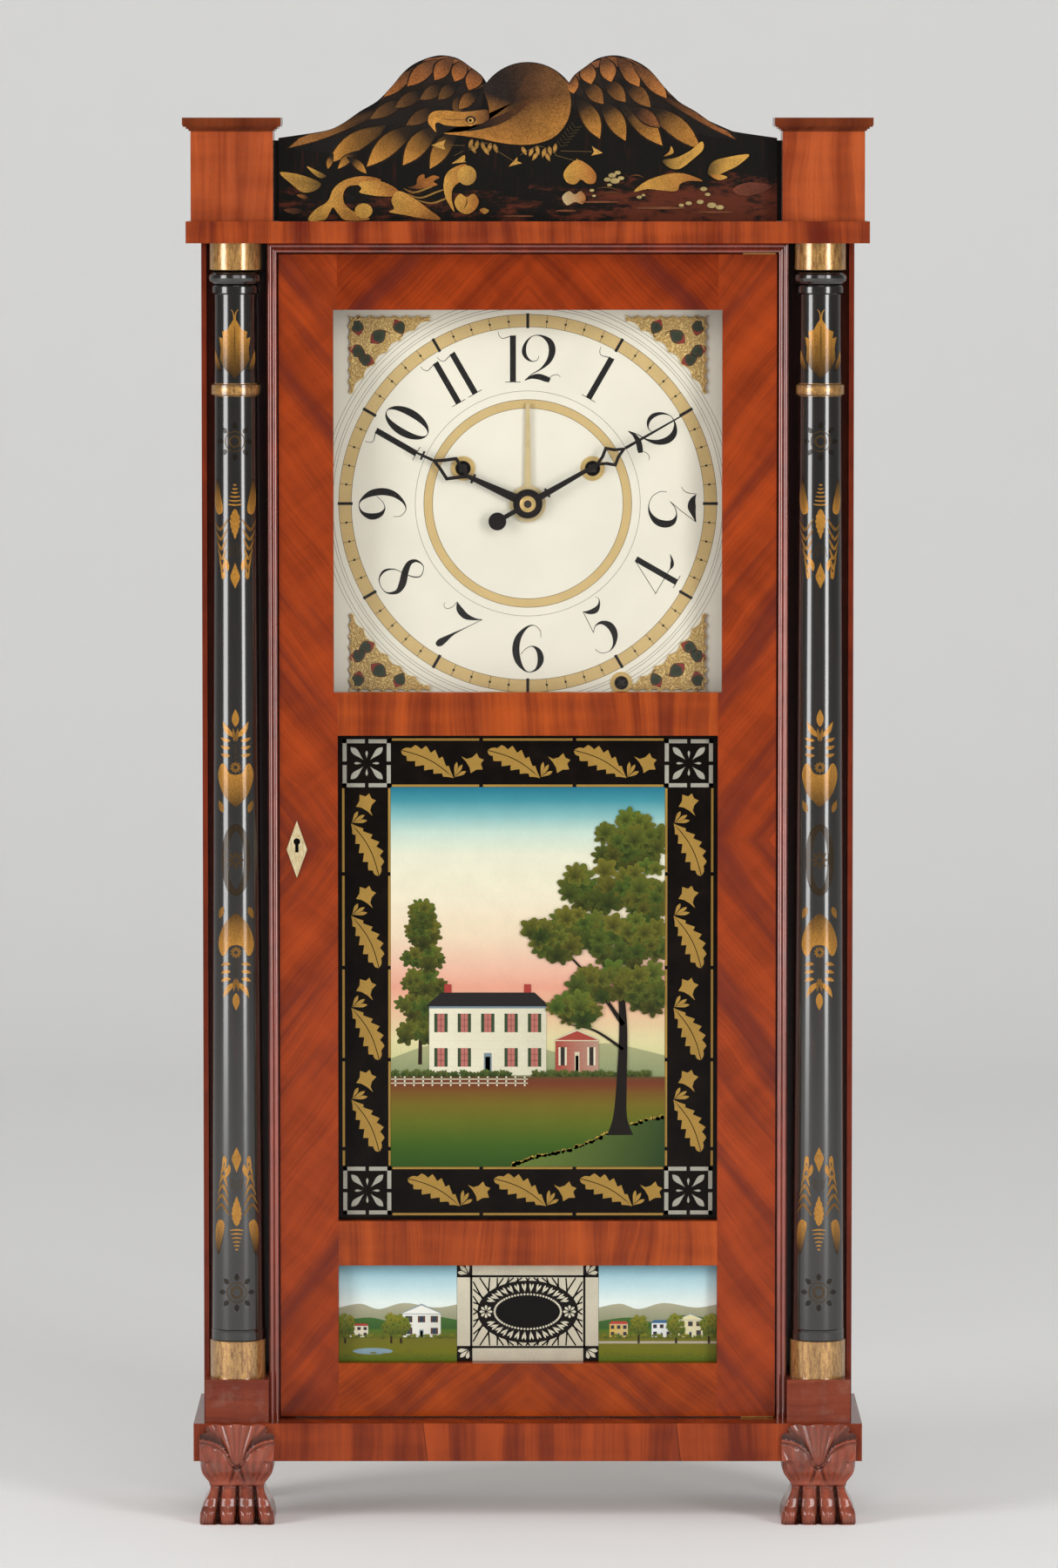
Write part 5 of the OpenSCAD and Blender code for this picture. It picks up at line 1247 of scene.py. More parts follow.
# Numerals as brush strokes of x, height and width in a cell 100 high, each with whether it is closed. A key
# with a letter is a further stroke of that numeral
TALL_DIGIT = 100
WIDE_DIGIT = 66
DIGIT_WIDTH = {"1": 40, "0": 52, "2": 62}
DIGITS = {
    "0": ([(26 + 22 * math.cos(a * math.pi / 8), 50 + 49 * math.sin(a * math.pi / 8),
            1.4 + 13.5 * abs(math.cos(a * math.pi / 8)) ** 1.7) for a in range(16)], True),
    "1": ([(20, 1, 12.5), (20, 50, 12.5), (20, 98, 12.5)], False), "1a": ([(4, 1, 1.4), (36, 1, 1.4)], False),
    "1b": ([(26, 98, 1.6), (10, 95, 1.6), (-2, 92, 1.3), (-9, 98, 1.1), (-11, 107, 0.8)], False),
    "2": ([(34, 55, 1), (31, 47, 1.2), (20, 44, 2.2), (8, 52, 7), (3, 66, 9), (8, 84, 5),
           (22, 97, 1.5), (40, 97, 4), (57, 85, 12), (62, 66, 14), (55, 45, 10), (38, 28, 3.5),
           (19, 17, 1.4), (5, 5, 1.1)], False),
    "2a": ([(5, 4, 0.8), (18, 11, 7), (34, 12, 12), (50, 7, 12), (57, 4, 9)], False),
    "2b": ([(54, 8, 1.2), (64, 15, 1.2), (74, 16, 1.1), (79, 11, 0.8)], False),
    "3": ([(14, 99, 1), (26, 92, 12), (40, 90, 17), (56, 94, 9), (72, 99, 1)], False),
    "3a": ([(13, 100, 1.2), (11, 84, 1.4), (6, 74, 1.2), (-2, 68, 0.8)], False),
    "3b": ([(71, 98, 1.4), (50, 70, 1.4), (29, 45, 1.4)], False),
    "3c": ([(29, 45, 1.2), (42, 55, 1.6), (58, 58, 3), (72, 50, 11), (76, 34, 15), (70, 16, 13), (54, 3, 6),
            (36, 0, 1.6), (18, 8, 1.2), (8, 24, 1.2), (9, 38, 1.0)], False),
    "4": ([(46, 1, 12.5), (46, 50, 12.5), (46, 99, 12.5)], False),
    "4a": ([(32, 1, 1.4), (62, 1, 1.4)], False), "4b": ([(42, 99, 1.3), (4, 27, 1.3)], False),
    "4c": ([(2, 27, 1.3), (66, 27, 1.3)], False),
    "4d": ([(62, 26, 1), (72, 27, 7.5), (82, 33, 5), (90, 42, 1)], False),
    "5": ([(20, 99, 1), (30, 92, 8), (44, 89, 12), (56, 95, 5), (62, 106, 1.2), (58, 114, 0.8)], False),
    "5a": ([(20, 99, 1.3), (17, 50, 1.3)], False),
    "5b": ([(17, 50, 1.2), (27, 60, 1.8), (42, 60, 7), (54, 46, 14), (54, 26, 13), (43, 8, 6), (27, 0, 1.5),
            (10, 5, 1.2), (3, 18, 1.1)], False),
    "6": ([(60, 72, 0.9), (59, 87, 1.3), (46, 98, 1.5), (30, 93, 5), (14, 74, 12), (8, 50, 15), (12, 25, 13),
           (24, 6, 5), (37, 0, 1.6), (52, 7, 6), (60, 25, 13), (56, 44, 10), (43, 54, 2.4), (29, 49, 1.3),
           (18, 37, 1.0)], False),
    "7": ([(8, 101, 1), (20, 90, 13), (38, 84, 13), (58, 88, 5), (72, 95, 1)], False),
    "7a": ([(8, 101, 1), (4, 86, 1.2), (-4, 78, 1.2), (-12, 80, 0.9), (-14, 88, 0.8)], False),
    "7b": ([(72, 95, 1.2), (50, 62, 1.6), (34, 38, 5), (24, 18, 13), (19, 8, 15), (15, 1, 7)], False),
    "8": ([(52, 84, 2), (38, 98, 1.5), (21, 92, 5), (17, 77, 10), (28, 60, 14), (47, 42, 15), (56, 24, 9),
           (48, 5, 3), (32, 0, 1.5), (14, 5, 2.4), (5, 22, 5), (12, 42, 2), (32, 57, 1.3), (47, 70, 2.6)],
           True),
}


def numeral(art, text, degrees, centre, size, ink):
    """A number of the dial as brush strokes: thick stems, hairlines and curled tails. The 9 is a turned 6."""
    start = -sum(DIGIT_WIDTH.get(c, WIDE_DIGIT) for c in text) / 2
    for c in text:
        key, flip = ("6", True) if c == "9" else (c, False)
        for part in (key + tail for tail in ("", "a", "b", "c", "d") if key + tail in DIGITS):
            path, closed = DIGITS[part]
            if flip:
                path = [(WIDE_DIGIT - px, TALL_DIGIT - pz, w) for px, pz, w in path]
            local = [(px + start, pz - TALL_DIGIT / 2, w) for px, pz, w in path]
            straight = len(path) <= 3
            art.stroke(turned(local, degrees, centre, size), ink, steps=1 if straight else 7, closed=closed)
        start += DIGIT_WIDTH.get(c, WIDE_DIGIT)


class CLOCK_OT_dial(ClockOperator, bpy.types.Operator):
    """Painted dial with rings, numerals, gilt corners, eyelets and hands"""

    bl_idname = "clock.dial"
    bl_label = "Dial"

    def build(self):
        f = Finish("dial_paint", Coat_Weight=0.1, Coat_Roughness=0.3)
        x, y, z = f.place()
        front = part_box("dial_board")[0].y / MM
        weave = f.noise(x * 1.2, y, z * 1.2, 3.0, 0.6)
        cloud = f.noise(x * 0.012, y, z * 0.012, 3.0, 0.6)
        cream = f.mix(cloud.rise(0.35, 0.7), paint().cream, tuple(c * 0.93 for c in paint().cream))
        cream = f.dim(cream, 0.97 + weave * 0.06)
        spot = f.noise(x * 0.35, y, z * 0.35, 5.0, 0.75)
        cream = f.mix(spot.rise(0.7, 0.78) * 0.35, cream, "b3a681")
        f.put("Base Color", f.mix(y.rise(front + 0.3, front + 0.6), cream, wood().pine))
        f.put("Roughness", weave * 0.1 + 0.5)
        f.bump(weave, 0.02)
        dress(f.material, "dial_board")
        dress(worn_metal("eyelet_brass", "dcbc78", 0.3, "7a6038", 0.3, shine=0.35),
              "dial_eyelets", "hand_nut")
        dress(worn_metal("alarm_brass", "cdb989", 0.4, "9a8250", 0.4, 0.0, 0.15), "alarm_hand")
        dress(worn_metal("blued_steel", metal().blued, 0.35, "1d1c22", 0.5, 0.1, 0.8), "minute_hand",
              "hour_hand")
        self.rings(front)
        self.corners()

    def rings(self, front):
        """Gold rings with their lines, the minutes and the hours."""
        cx, cz = DIAL
        gold, ink, line = paint().ring, paint().ink, "5e5546"
        track, inner = (114.5, 122.6), (61.8, 67.4)
        art = Painting()
        for ring in (track, inner):
            art.ring(cx, cz, *ring, gold)
        for r in (73.0, 126.5, 128.2, 131.4, 133.6):
            art.ring(cx, cz, r - 0.12, r + 0.12, line)
        art.over()
        for r in (*inner, *track):
            art.ring(cx, cz, r - 0.16, r + 0.16, "6b5a3c")
        art.over()
        for minute in range(60):
            turn = minute * 6
            if minute % 5:
                art.shape(turned(block(-0.13, 0.13, *track), turn, DIAL), ink)
                art.shape(turned(oval(0, 118.4, 0.75, 0.8, 12), turn, DIAL), ink)
            else:
                art.shape(turned(block(-0.95, 0.95, 113.6, 123.3), turn, DIAL), ink)
        for hour in range(1, 13):
            turn = hour * 30
            upside_down = 4 <= hour <= 8
            place = turned([(0, 94.0)], turn, DIAL)[0]
            numeral(art, str(hour), turn - 180 if upside_down else turn, place, 0.31, ink)
        finish = painted_shapes("dial_gold_and_black", 0.5, wear=0.25, under="d9cfae")
        art.make("dial_painting", front, "case", finish, "dial_paint")

    def corners(self):
        """Gilt plaster corners: scroll edges and painted buds."""
        f = Finish("gilt_plaster", Metallic=0.2, Coat_Weight=0.3, Coat_Roughness=0.2)
        x, y, z = f.place()
        worm = f.noise(x * 0.22, y, z * 0.22, 2.0, 0.5)
        scroll = f.maths("SINE", worm * 46)
        grime = f.noise(x * 0.5, y, z * 0.5, 5.0, 0.7)
        colour = f.mix(scroll.rise(-0.9, 0.5), "b58f4a", paint().gilt)
        f.put("Base Color", f.mix(grime.rise(0.54, 0.76) * 0.4, colour, "9c7b42"))
        f.put("Roughness", grime * 0.25 + 0.3)
        f.bump(scroll.rise(-0.9, 0.9) + grime * 0.5, 0.45)
        dress(f.material, "dial_spandrels")
        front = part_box("dial_spandrels")[0].y / MM
        art = Painting()
        rims = Tubes()
        leaf, outline, red = "2e3528", "5a3424", "93382f"
        buds = ((83.8, 115.3, 3.6, 30), (110.1, 113.4, 3.7, 190), (97.6, 107.6, 4.2, 130),
                (111.3, 99.2, 3.8, 70), (104.0, 92.8, 3.7, 250))
        quarters = ((-1, -1), (-1, 1), (1, -1), (1, 1))
        for sx, sz in quarters:
            for bx, bz, r, tilt in buds:
                def put(points):
                    return [(sx * x, DIAL[1] + sz * z, *w) for x, z, *w in turned(points, tilt, (bx, bz))]
                art.coats = 1
                art.shape(put(feather((0, -r * 1.75), (0, r * 1.35), r * 2.2, 0, 0.52)), outline)
                art.over()
                art.bloom(put(feather((0, -r * 1.5), (0, r * 1.15), r * 1.95, 0, 0.52)), leaf,
                          between(leaf, "46503a", 0.6))
                art.over()
                art.shape(put([(-r * 0.86, r * 0.1), (-r * 0.55, r * 0.78), (0, r * 1.2),
                               (r * 0.55, r * 0.78), (r * 0.86, r * 0.1), (r * 0.4, r * 0.5), (0, r * 0.62),
                               (-r * 0.4, r * 0.5)]), red)
                art.stroke(put([(0, -r * 1.5, 0.5), (r * 0.5, -r * 1.9, 0.6), (r * 0.9, -r * 1.8, 0.3)]),
                           outline)
        art.make("corner_buds", front, "case", painted_shapes("corner_paint", 0.35, 0.2, 0.15, 0.0, "b58f4a"),
                 "gilt")
        dents, pitch = 7, 7.1
        for sx, sz in quarters:
            for side in (0, 1):
                for n in range(dents):
                    path = []
                    for i in range(7):
                        t = i / 6
                        along = between(2.5 + n * pitch, 2.5 + (n + 0.82) * pitch, t)
                        deep = 1.5 + 1.5 * math.sin(math.pi * t)
                        x, z = (116.5 - deep, 122 - along) if side else (116.5 - along, 122 - deep)
                        path.append((sx * x, front + 0.15, DIAL[1] + sz * z,
                                     0.62 * math.sin(math.pi * (0.15 + 0.7 * t))))
                    rims.tube(path)
        rims.make("corner_scrolls", "case", worn_metal("gilt_edge", "e0bd78", 0.3, "9c6f3a", 0.4, 0.2, 0.5),
                  "gilt")


class Tubes:
    """Round rods and ridges through points, gathered into one mesh."""

    def __init__(self, sides=8):
        self.sides = sides
        self.points = []
        self.faces = []

    def tube(self, path):
        """Through points of x, y, z and radius, in millimetres, with closed ends."""
        first = len(self.points)
        n = self.sides
        for i, p in enumerate(path):
            a, b = Vector(path[max(0, i - 1)][:3]), Vector(path[min(len(path) - 1, i + 1)][:3])
            turn = (b - a).to_track_quat("Z", "Y")
            for k in range(n):
                angle = 2 * math.pi * k / n
                off = turn @ Vector((math.cos(angle) * p[3], math.sin(angle) * p[3], 0))
                self.points.append(tuple(Vector(p[:3]) + off))
        for i in range(len(path) - 1):
            for k in range(n):
                a, b = first + i * n + k, first + i * n + (k + 1) % n
                self.faces.append([a, b, b + n, a + n])
        self.faces.append([first + k for k in reversed(range(n))])
        self.faces.append([first + (len(path) - 1) * n + k for k in range(n)])

    def make(self, name, body, material, slot):
        mesh = bpy.data.meshes.new(name)
        mesh.from_pydata([tuple(v * MM for v in p) for p in self.points], [], self.faces)
        for face in mesh.polygons:
            face.use_smooth = len(face.vertices) == 4
        mesh.materials.append(material)
        return placed(name, mesh, body)


def serrated(art, root, tip, width, bend, teeth, gold, gap=0.55):
    """Stencilled leaf with toothed edges, in two halves beside a dark midrib."""
    dx, dz = tip[0] - root[0], tip[1] - root[1]
    length = math.hypot(dx, dz)
    ux, uz = dx / length, dz / length
    for side in (-1, 1):
        inner, outer = [], []
        steps = teeth * 4
        for i in range(steps + 1):
            t = i / steps
            sag = bend * math.sin(math.pi * t)
            cx, cz = root[0] + dx * t - uz * sag, root[1] + dz * t + ux * sag
            swell = math.sin(math.pi * t ** 0.8) ** 0.75 if 0 < t < 1 else 0
            saw = 1.0 - 0.56 * ((i % 4) / 4 if i % 4 else 0.0)
            reach = width / 2 * swell * saw
            hold = gap * min(1, 6 * (1 - t))
            inner.append((cx - uz * side * hold / 2, cz + ux * side * hold / 2))
            outer.append((cx - uz * side * max(reach, hold / 2), cz + ux * side * max(reach, hold / 2)))
        art.shape(inner + outer[::-1], gold)


def drop(art, root, tip, width, tint):
    """A drop that swells towards its tip."""
    art.shape(feather(root, tip, width, 0, 0.68), tint)


def sprig(art, centre, degrees, gold, flip=False):
    """Border repeat: a toothed leaf, a curled bud and three drops."""
    def put(points):
        return turned(points, degrees, centre, 1.0, flip)
    root, tip = put([(-24, 8)])[0], put([(10, -10)])[0]
    serrated(art, root, tip, 15.5, 3.0 * (-1 if flip else 1), 6, gold)
    art.shape(put([(15, 4), (18.5, 2.4), (22, 3.4), (25, 6.2), (26.4, 3.2), (29.6, 1.8),
                   (27.6, -0.6), (28.8, -4.4), (24.6, -4.6), (21, -6.8), (20.4, -3.4), (18.2, 0.4)]), gold)
    for end in ((12.0, 0.5), (15.6, -1.2), (18.0, -5.6)):
        a, b = put([(10.5, -9.5)])[0], put([end])[0]
        drop(art, a, b, 2.3, gold)


def corner_square(art, cx, cz, silver, half=15.6):
    """Silver square with mid-side gaps, four petals and four small drops."""
    w, g = 2.6, 1.2
    for turn in (0, 90, 180, 270):
        for side in (-1, 1):
            art.shape(turned(block(*sorted((side * g, side * half)), half - w, half), turn, (cx, cz)), silver)
        a, b = turned([(2.2, 2.2), (10.4, 10.4)], turn, (cx, cz))
        drop(art, a, b, 3.9, silver)
        a, b = turned([(0, 3.2), (0, 8.2)], turn, (cx, cz))
        drop(art, a, b, 1.5, silver)


def crown(art, dice, cx, cz, rx, rz, count, size, dark, light, warm):
    """Foliage: lobed brush dabs from back to front, paler at their rims and towards the top."""
    for _ in range(count):
        a = dice.uniform(0, 2 * math.pi)
        r = math.sqrt(dice.random())
        px, pz = cx + rx * r * math.cos(a), cz + rz * r * math.sin(a)
        s = size * dice.uniform(0.7, 1.25)
        lit = 0.5 + 0.5 * math.sin(a) * r
        rim = between(light, warm, dice.random() * 0.6)
        lobes = dice.choice((5, 6, 7))
        spin = dice.uniform(0, 6)
        outline = []
        for k in range(lobes * 5):
            t = 2 * math.pi * k / (lobes * 5)
            reach = s * (0.5 + 0.5 * abs(math.sin(lobes * t / 2 + spin)))
            outline.append((px + reach * math.cos(t), pz + reach * 0.9 * math.sin(t)))
        art.coats += 0.1
        art.bloom(outline, between(dark, rim, 0.04 + 0.12 * lit), between(dark, rim, 0.25 + 0.6 * lit),
                  (px - s * 0.1, pz - s * 0.3))


def house(art, x0, x1, z0, z1, wall, roof, trim, rows, columns, shutter, glass, gable=False, chimneys=1):
    """A plain painted farmhouse: clapboards, sash windows with shutters, door and chimneys."""
    w, h = x1 - x0, z1 - z0
    rise = w * 0.26 if gable else h * 0.2
    for k in range(chimneys):
        cx = x0 + w * (0.5 if chimneys == 1 else 0.16 + 0.68 * k)
        art.shape(block(cx - w * 0.03, cx + w * 0.03, z1, z1 + rise + h * 0.12), "a23a33")
    art.over()
    if gable:
        art.shape([(x0 - w * 0.04, z1), (x1 + w * 0.04, z1), ((x0 + x1) / 2, z1 + rise)], trim)
        art.over()
        art.shape([(x0, z1), (x1, z1), ((x0 + x1) / 2, z1 + rise * 0.82)], wall)
    else:
        art.shape([(x0 - w * 0.03, z1), (x1 + w * 0.03, z1), (x1 - w * 0.1, z1 + rise),
                   (x0 + w * 0.1, z1 + rise)], roof)
    art.shape(block(x0, x1, z0, z1), wall, between(wall, "b9b49c", 0.5), (x0, z0), (x1, z0))
    art.over()
    art.shape(block(x0, x1, z1 - h * 0.03, z1), trim)
    for n in range(1, 8):
        zz = z0 + h * n / 8
        art.shape(block(x0, x1, zz, zz + 0.12), between(wall, trim, 0.35))
    art.over()
    for r in range(rows):
        for c in range(columns):
            cx = x0 + w * (c + 0.5) / columns
            cz = z0 + h * (r + 0.52) / rows
            hw, hh = w / columns * 0.15, h / rows * 0.27
            if r == 0 and c == columns // 2:
                art.shape(block(cx - hw * 1.1, cx + hw * 1.1, z0, z0 + hh * 2.4), trim)
                art.shape(block(cx - hw * 0.7, cx + hw * 0.7, z0, z0 + hh * 2.0), shutter)
                continue
            art.shape(block(cx - hw, cx + hw, cz - hh, cz + hh), glass)
            for side in (-1, 1):
                a, b = sorted((cx + side * hw, cx + side * hw * 1.9))
                art.shape(block(a, b, cz - hh, cz + hh), shutter)
            art.shape(block(cx - 0.12, cx + 0.12, cz - hh, cz + hh), wall)
            for k in (-0.33, 0.33):
                art.shape(block(cx - hw, cx + hw, cz + k * hh - 0.1, cz + k * hh + 0.1), wall)


# Half the width of the ruled lines on the glasses, in millimetres
HALF_LINE = 0.75


class CLOCK_OT_tablets(ClockOperator, bpy.types.Operator):
    """Stencilled borders and painted scenes on the two lower glasses"""

    bl_idname = "clock.tablets"
    bl_label = "Tablets"

    def build(self):
        glassy = painted_shapes("glass_painting", 0.4, 0.2, mottle=0.1)
        leaf = painted_shapes("glass_leaf", 0.4, 0.2, 0.18, 0.25, "2a2013", 0.2)
        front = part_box("picture_tablet")[0].y / MM
        self.border().make("picture_border", front, "door", leaf, "painted_glass")
        self.view().make("picture_scene", front, "door", glassy, "painted_glass")
        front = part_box("lower_tablet")[0].y / MM
        self.centre_panel().make("lower_stencil", front, "door", leaf, "painted_glass")
        self.small_views().make("lower_scenes", front, "door", glassy, "painted_glass")

    def border(self):
        """Corner squares, gold lines and sprigs round the picture."""
        art = Painting()
        gold, silver = "a8843f", paint().silver
        for cx in (-104.4, 104.4):
            for cz in (213.6, 492.2):
                corner_square(art, cx, cz, silver)
        for z in (198.2, 507.6, 228.4, 477.6):
            for a, b in ((-88, -31.5), (-29, 29), (31.5, 88)):
                art.shape(block(a, b, z - HALF_LINE, z + HALF_LINE), gold)
        for x in (-119.6, 119.6, -89.8, 89.8):
            for a, b in ((230, 239.8), (242.2, 298), (300.4, 358), (360.4, 419), (421.4, 476)):
                art.shape(block(x - HALF_LINE, x + HALF_LINE, a, b), gold)
        for n in (-1, 0, 1):
            sprig(art, (n * 56.0 - 2, 492.6), 0, gold)
            sprig(art, (n * 56.0 + 2, 213.4), 0, gold)
        for n in range(4):
            sprig(art, (-104.6, 263.0 + n * 60.0), 90, gold, True)
            sprig(art, (104.6, 443.0 - n * 60.0), 90, gold, True)
        return art

    def view(self):
        """A plain farm view: sky at sunset, house and barn, trees and lawn."""
        art = Painting()
        x0, x1, z0, z1 = -88.9, 88.9, 229.3, 476.7
        sky = [(288, "b8c07e"), (312, "d2c898"), (330, "dcb491"), (346, "dc9c84"),
               (360, "e0b39b"), (380, "e2ceb0"), (405, "e3dabf"), (432, "dcdcc4"),
               (447, "bdd2c4"), (458, "7fb2b2"), (468, "3f8b97"), (476.7, "1f6d84")]
        art.wash(x0, x1, sky)
        dice = random.Random(12)
        dark, light, warm = "131d09", "5a7226", "8a7326"
        art.over()
        ridge = curve_through([(x0, 300), (-60, 309), (-30, 303), (-6, 312), (20, 304),
                               (50, 310), (x1, 302)], 6)
        hills = [(x0, 286), *ridge, (x1, 286)]
        art.shape(hills, "7f8a62", "a3a277", (0, 286), (0, 312))
        art.over()
        art.stroke([(-70, 296, 2.6), (-69, 350, 1.6), (-68, 380, 0.8)], "2a1c12")
        for cz, r in ((318, 15), (334, 14.5), (350, 13), (366, 11), (382, 8.5), (394, 5.5)):
            crown(art, dice, -68, cz, r, 7, 26, 5.6, dark, light, warm)
        art.coats += 1
        house(art, -64, 12, 289, 334, "ded8be", "23201f", "71828a", 2, 5, "34452c", "b06a60", False, 2)
        art.coats += 1
        house(art, 18, 46, 290, 312, "9c3f33", "2b2624", "c9bfa2", 1, 3, "d5cbb0", "38302a", True, 0)
        art.coats += 1
        for n in range(22):
            crown(art, dice, -84 + n * 6.2 if n < 12 else -84 + n * 7.6, 289.5, 3.4, 1.4, 7, 2.5, dark,
                  "52682c", "73742f")
        art.coats += 1
        ground = [(z0, "2b4a15"), (244, "3b5817"), (258, "5a631a"), (270, "6c601b"),
                  (278, "6f4c1e"), (284, "6e3420"), (288, "5d4022")]
        art.wash(x0, x1, ground)
        art.over()
        for n in range(15):
            px = -86 + n * 6.0
            art.shape(block(px - 0.5, px + 0.5, 282.0, 288.4), "cfc8ae")
        for z in (283.6, 286.2):
            art.shape(block(x0, 0, z, z + 0.7), "c5bda1")
        art.over()
        bank = curve_through([(x1, 262), (60, 255), (34, 243), (6, 236), (-12, 229.3)], 6)
        art.shape([(x1, 229.3), *bank], "243b1a", "5f7030", (60, 229), (30, 262))
        edge = curve_through([(x1 - 1, 261.5), (60, 254.5), (34, 242.5), (6, 235.5), (-10, 230.4)], 30)
        for n in range(90):
            px, pz = edge[int(n / 89 * (len(edge) - 1))]
            art.bloom(oval(px + dice.uniform(-0.8, 0.8), pz + dice.uniform(-0.5, 1.0),
                           dice.uniform(0.8, 1.5), None, 7), "c9a34a", "8f7a34")
        art.over()
        trunk = "17100c"
        art.stroke([(60, 250, 17), (60, 262, 9), (61, 285, 6.6), (62, 320, 5.2), (60, 350, 3.6),
                    (57, 384, 1.6)], trunk)
        for path in (((62, 322, 3), (46, 345, 2), (28, 366, 1.2), (14, 376, 0.6)),
                     ((61, 345, 3), (74, 368, 2), (82, 398, 1)),
                     ((60, 352, 2.6), (48, 382, 1.8), (42, 412, 0.8)),
                     ((62, 306, 2), (44, 318, 1.4), (28, 322, 0.6))):
            art.stroke(list(path), trunk)
        art.over()
        for cx, cz, rx, rz, count in ((66, 440, 20, 15, 34), (48, 412, 22, 12, 30), (78, 404, 12, 20, 24),
                                      (36, 384, 22, 10, 28), (66, 376, 22, 14, 34), (18, 374, 12, 6, 12),
                                      (50, 350, 18, 9, 22), (78, 346, 11, 12, 16), (30, 332, 14, 6, 13),
                                      (8, 384, 8, 4, 6)):
            crown(art, dice, min(cx, x1 - rx), cz, rx * 1.05, rz * 1.15, round(count * 1.3), 7.4,
                  dark, light, warm)
        art.clip(x0, x1, z0, z1)
        return art

    def centre_panel(self):
        """Silver leaf panel with black rays round a dark oval window and a plain beaded band."""
        art = Painting()
        silver, black = "d8d1ba", "120c09"
        z0, z1, half = 101.9, 165.5, 46.0
        art.shape(block(-half, half, z0, z1), silver, between(silver, "a08f7c", 0.45), (0, z1), (20, z0))
        art.over()
        for x in (-36.8, 36.8):
            art.shape(block(x - HALF_LINE, x + HALF_LINE, z0, z1), black)
        for z in (111.1, 157.5):
            art.shape(block(-half, half, z - HALF_LINE, z + HALF_LINE), black)
        for sx in (-1, 1):
            for low, high in ((z0, 110.4), (158.2, z1)):
                art.shape(block(*sorted((sx * 37.5, sx * half)), low, high), black)
        art.over()
        for sx in (-1, 1):
            for sz, z in ((-1, 109.8), (1, 158.8)):
                for lean in (10, 42, 76):
                    ux, uz = sx * math.cos(math.radians(lean)), sz * math.sin(math.radians(lean))
                    far = min(7.6 / abs(ux), 6.4 / abs(uz), 8.2)
                    drop(art, (sx * 38.0 + ux, z + uz), (sx * 38.0 + ux * far, z + uz * far), 2.5, silver)
        cz = 134.3
        art.coats = 3
        rays = 56
        for k in range(rays):
            t = 2 * math.pi * (k + 0.5) / rays
            far = min(35.6 / max(abs(math.cos(t)), 1e-6), 22.2 / max(abs(math.sin(t)), 1e-6))
            near = t + (0.07 if k % 2 else -0.07)
            art.stroke([(32.4 * math.cos(near), cz + 20.0 * math.sin(near), 1.1),
                        (far * math.cos(t), cz + far * math.sin(t), 0.9)], black, steps=1)
        art.over()
        art.shape(oval(0, cz, 32.8, 20.4, 72), black)
        art.over()
        for k in range(64):
            t = 2 * math.pi * k / 64
            art.shape(oval(21.6 * math.cos(t), cz + 11.4 * math.sin(t), 0.72, None, 8), silver)
        for k in range(14):
            for half_turn in (0, math.pi):
                t = half_turn + math.radians(28 + 124 * k / 13)
                px, pz = 27.0 * math.cos(t), cz + 15.8 * math.sin(t)
                lean = math.degrees(math.atan2(27.0 * math.cos(t), 15.8 * math.sin(t)))
                for s in (-1, 1):
                    a, b = turned([(0, -3.0), (s * 1.1, 2.8)], lean, (px, pz))
                    drop(art, a, b, 1.25, silver)
        for sx in (-1, 1):
            for k in range(8):
                a, b = turned([(0, 0.7), (0, 4.3)], k * 45, (sx * 27.2, cz))
                drop(art, a, b, 1.7, silver)
        art.shape(oval(0, cz, 20.6, 10.2, 60), "0b0706")
        return art

    def small_views(self):
        """Two small farm views beside the middle panel."""
        art = Painting()
        dice = random.Random(5)
        foot, top = 101.8, 165.6
        for right, (x0, x1) in enumerate(((-122.9, -46.2), (46.2, 122.9))):
            first = len(art.points)
            art.coats = 1
            art.wash(x0, x1, [(124, "dfe4da"), (140, "dde8e2"), (152, "b4d3d8"), (top, "7db2c2")])
            art.over()
            mid = (x0 + x1) / 2
            ridge = curve_through([(x0, 137), (x0 + 14, 139.5), (x0 + 26, 136), (mid + 4, 140),
                                   (x1 - 14, 137), (x1, 139)], 6)
            art.shape([(x0, 124)] + ridge + [(x1, 124)], "7d8363", "a9a68c", (0, 126), (0, 140))
            art.over()
            low = curve_through([(x0, 128), (x0 + 20, 130.5), (mid, 127), (x1 - 22, 132), (x1, 129)], 6)
            art.shape([(x0, 120)] + low + [(x1, 120)], "2f4f24", "44692f", (0, 122), (0, 132))
            art.over()
            art.wash(x0, x1, [(foot, "4f6417"), (108, "6b6c17"), (116, "6a6620"), (123, "466520")])
            art.over()
            if right:
                art.shape(block(x0, x1, 113.4, 115.0), "a79c86")
                spots = ((x0 + 13, 12, "b5402f", "c9a548"), (x0 + 41, 13, "3c6384", "dfe2df"),
                         (x1 - 17, 16, "b3402c", "d9cfa0"))
            else:
                art.shape(oval(x0 + 22, 108.4, 13, 2.1, 24), "7d96a0")
                spots = ((x1 - 23, 25, "2f5f8a", "e4e4da"), (x0 + 13, 12, "a33b2d", "e0d8bc"))
            for cx, w, roof, wall in spots:
                house(art, cx - w / 2, cx + w / 2, 117.6, 117.6 + w * (0.72 if right else 0.62), wall, roof,
                      "8d9aa0", 2, 3, "5b3a2c", "3c4a55", w > 15, 0)
                art.over()
            light, warm, dark = "7f8c2a", "b09428", "263d16"
            for cx in ((x0 + 26, mid + 12, x1 - 5) if right else (x0 + 34, x0 + 4, mid + 2)):
                art.stroke([(cx, 113.6, 1.3), (cx, 121, 0.7)], "2c1d12")
                crown(art, dice, cx, 125.6, 5.2, 6.4, 46, 2.1, dark, light, warm)
            for n in range(9):
                crown(art, dice, x0 + 3 + n * 8.8, 118.4, 3.4, 0.9, 9, 1.1, dark, light, warm)
            for n in range(10):
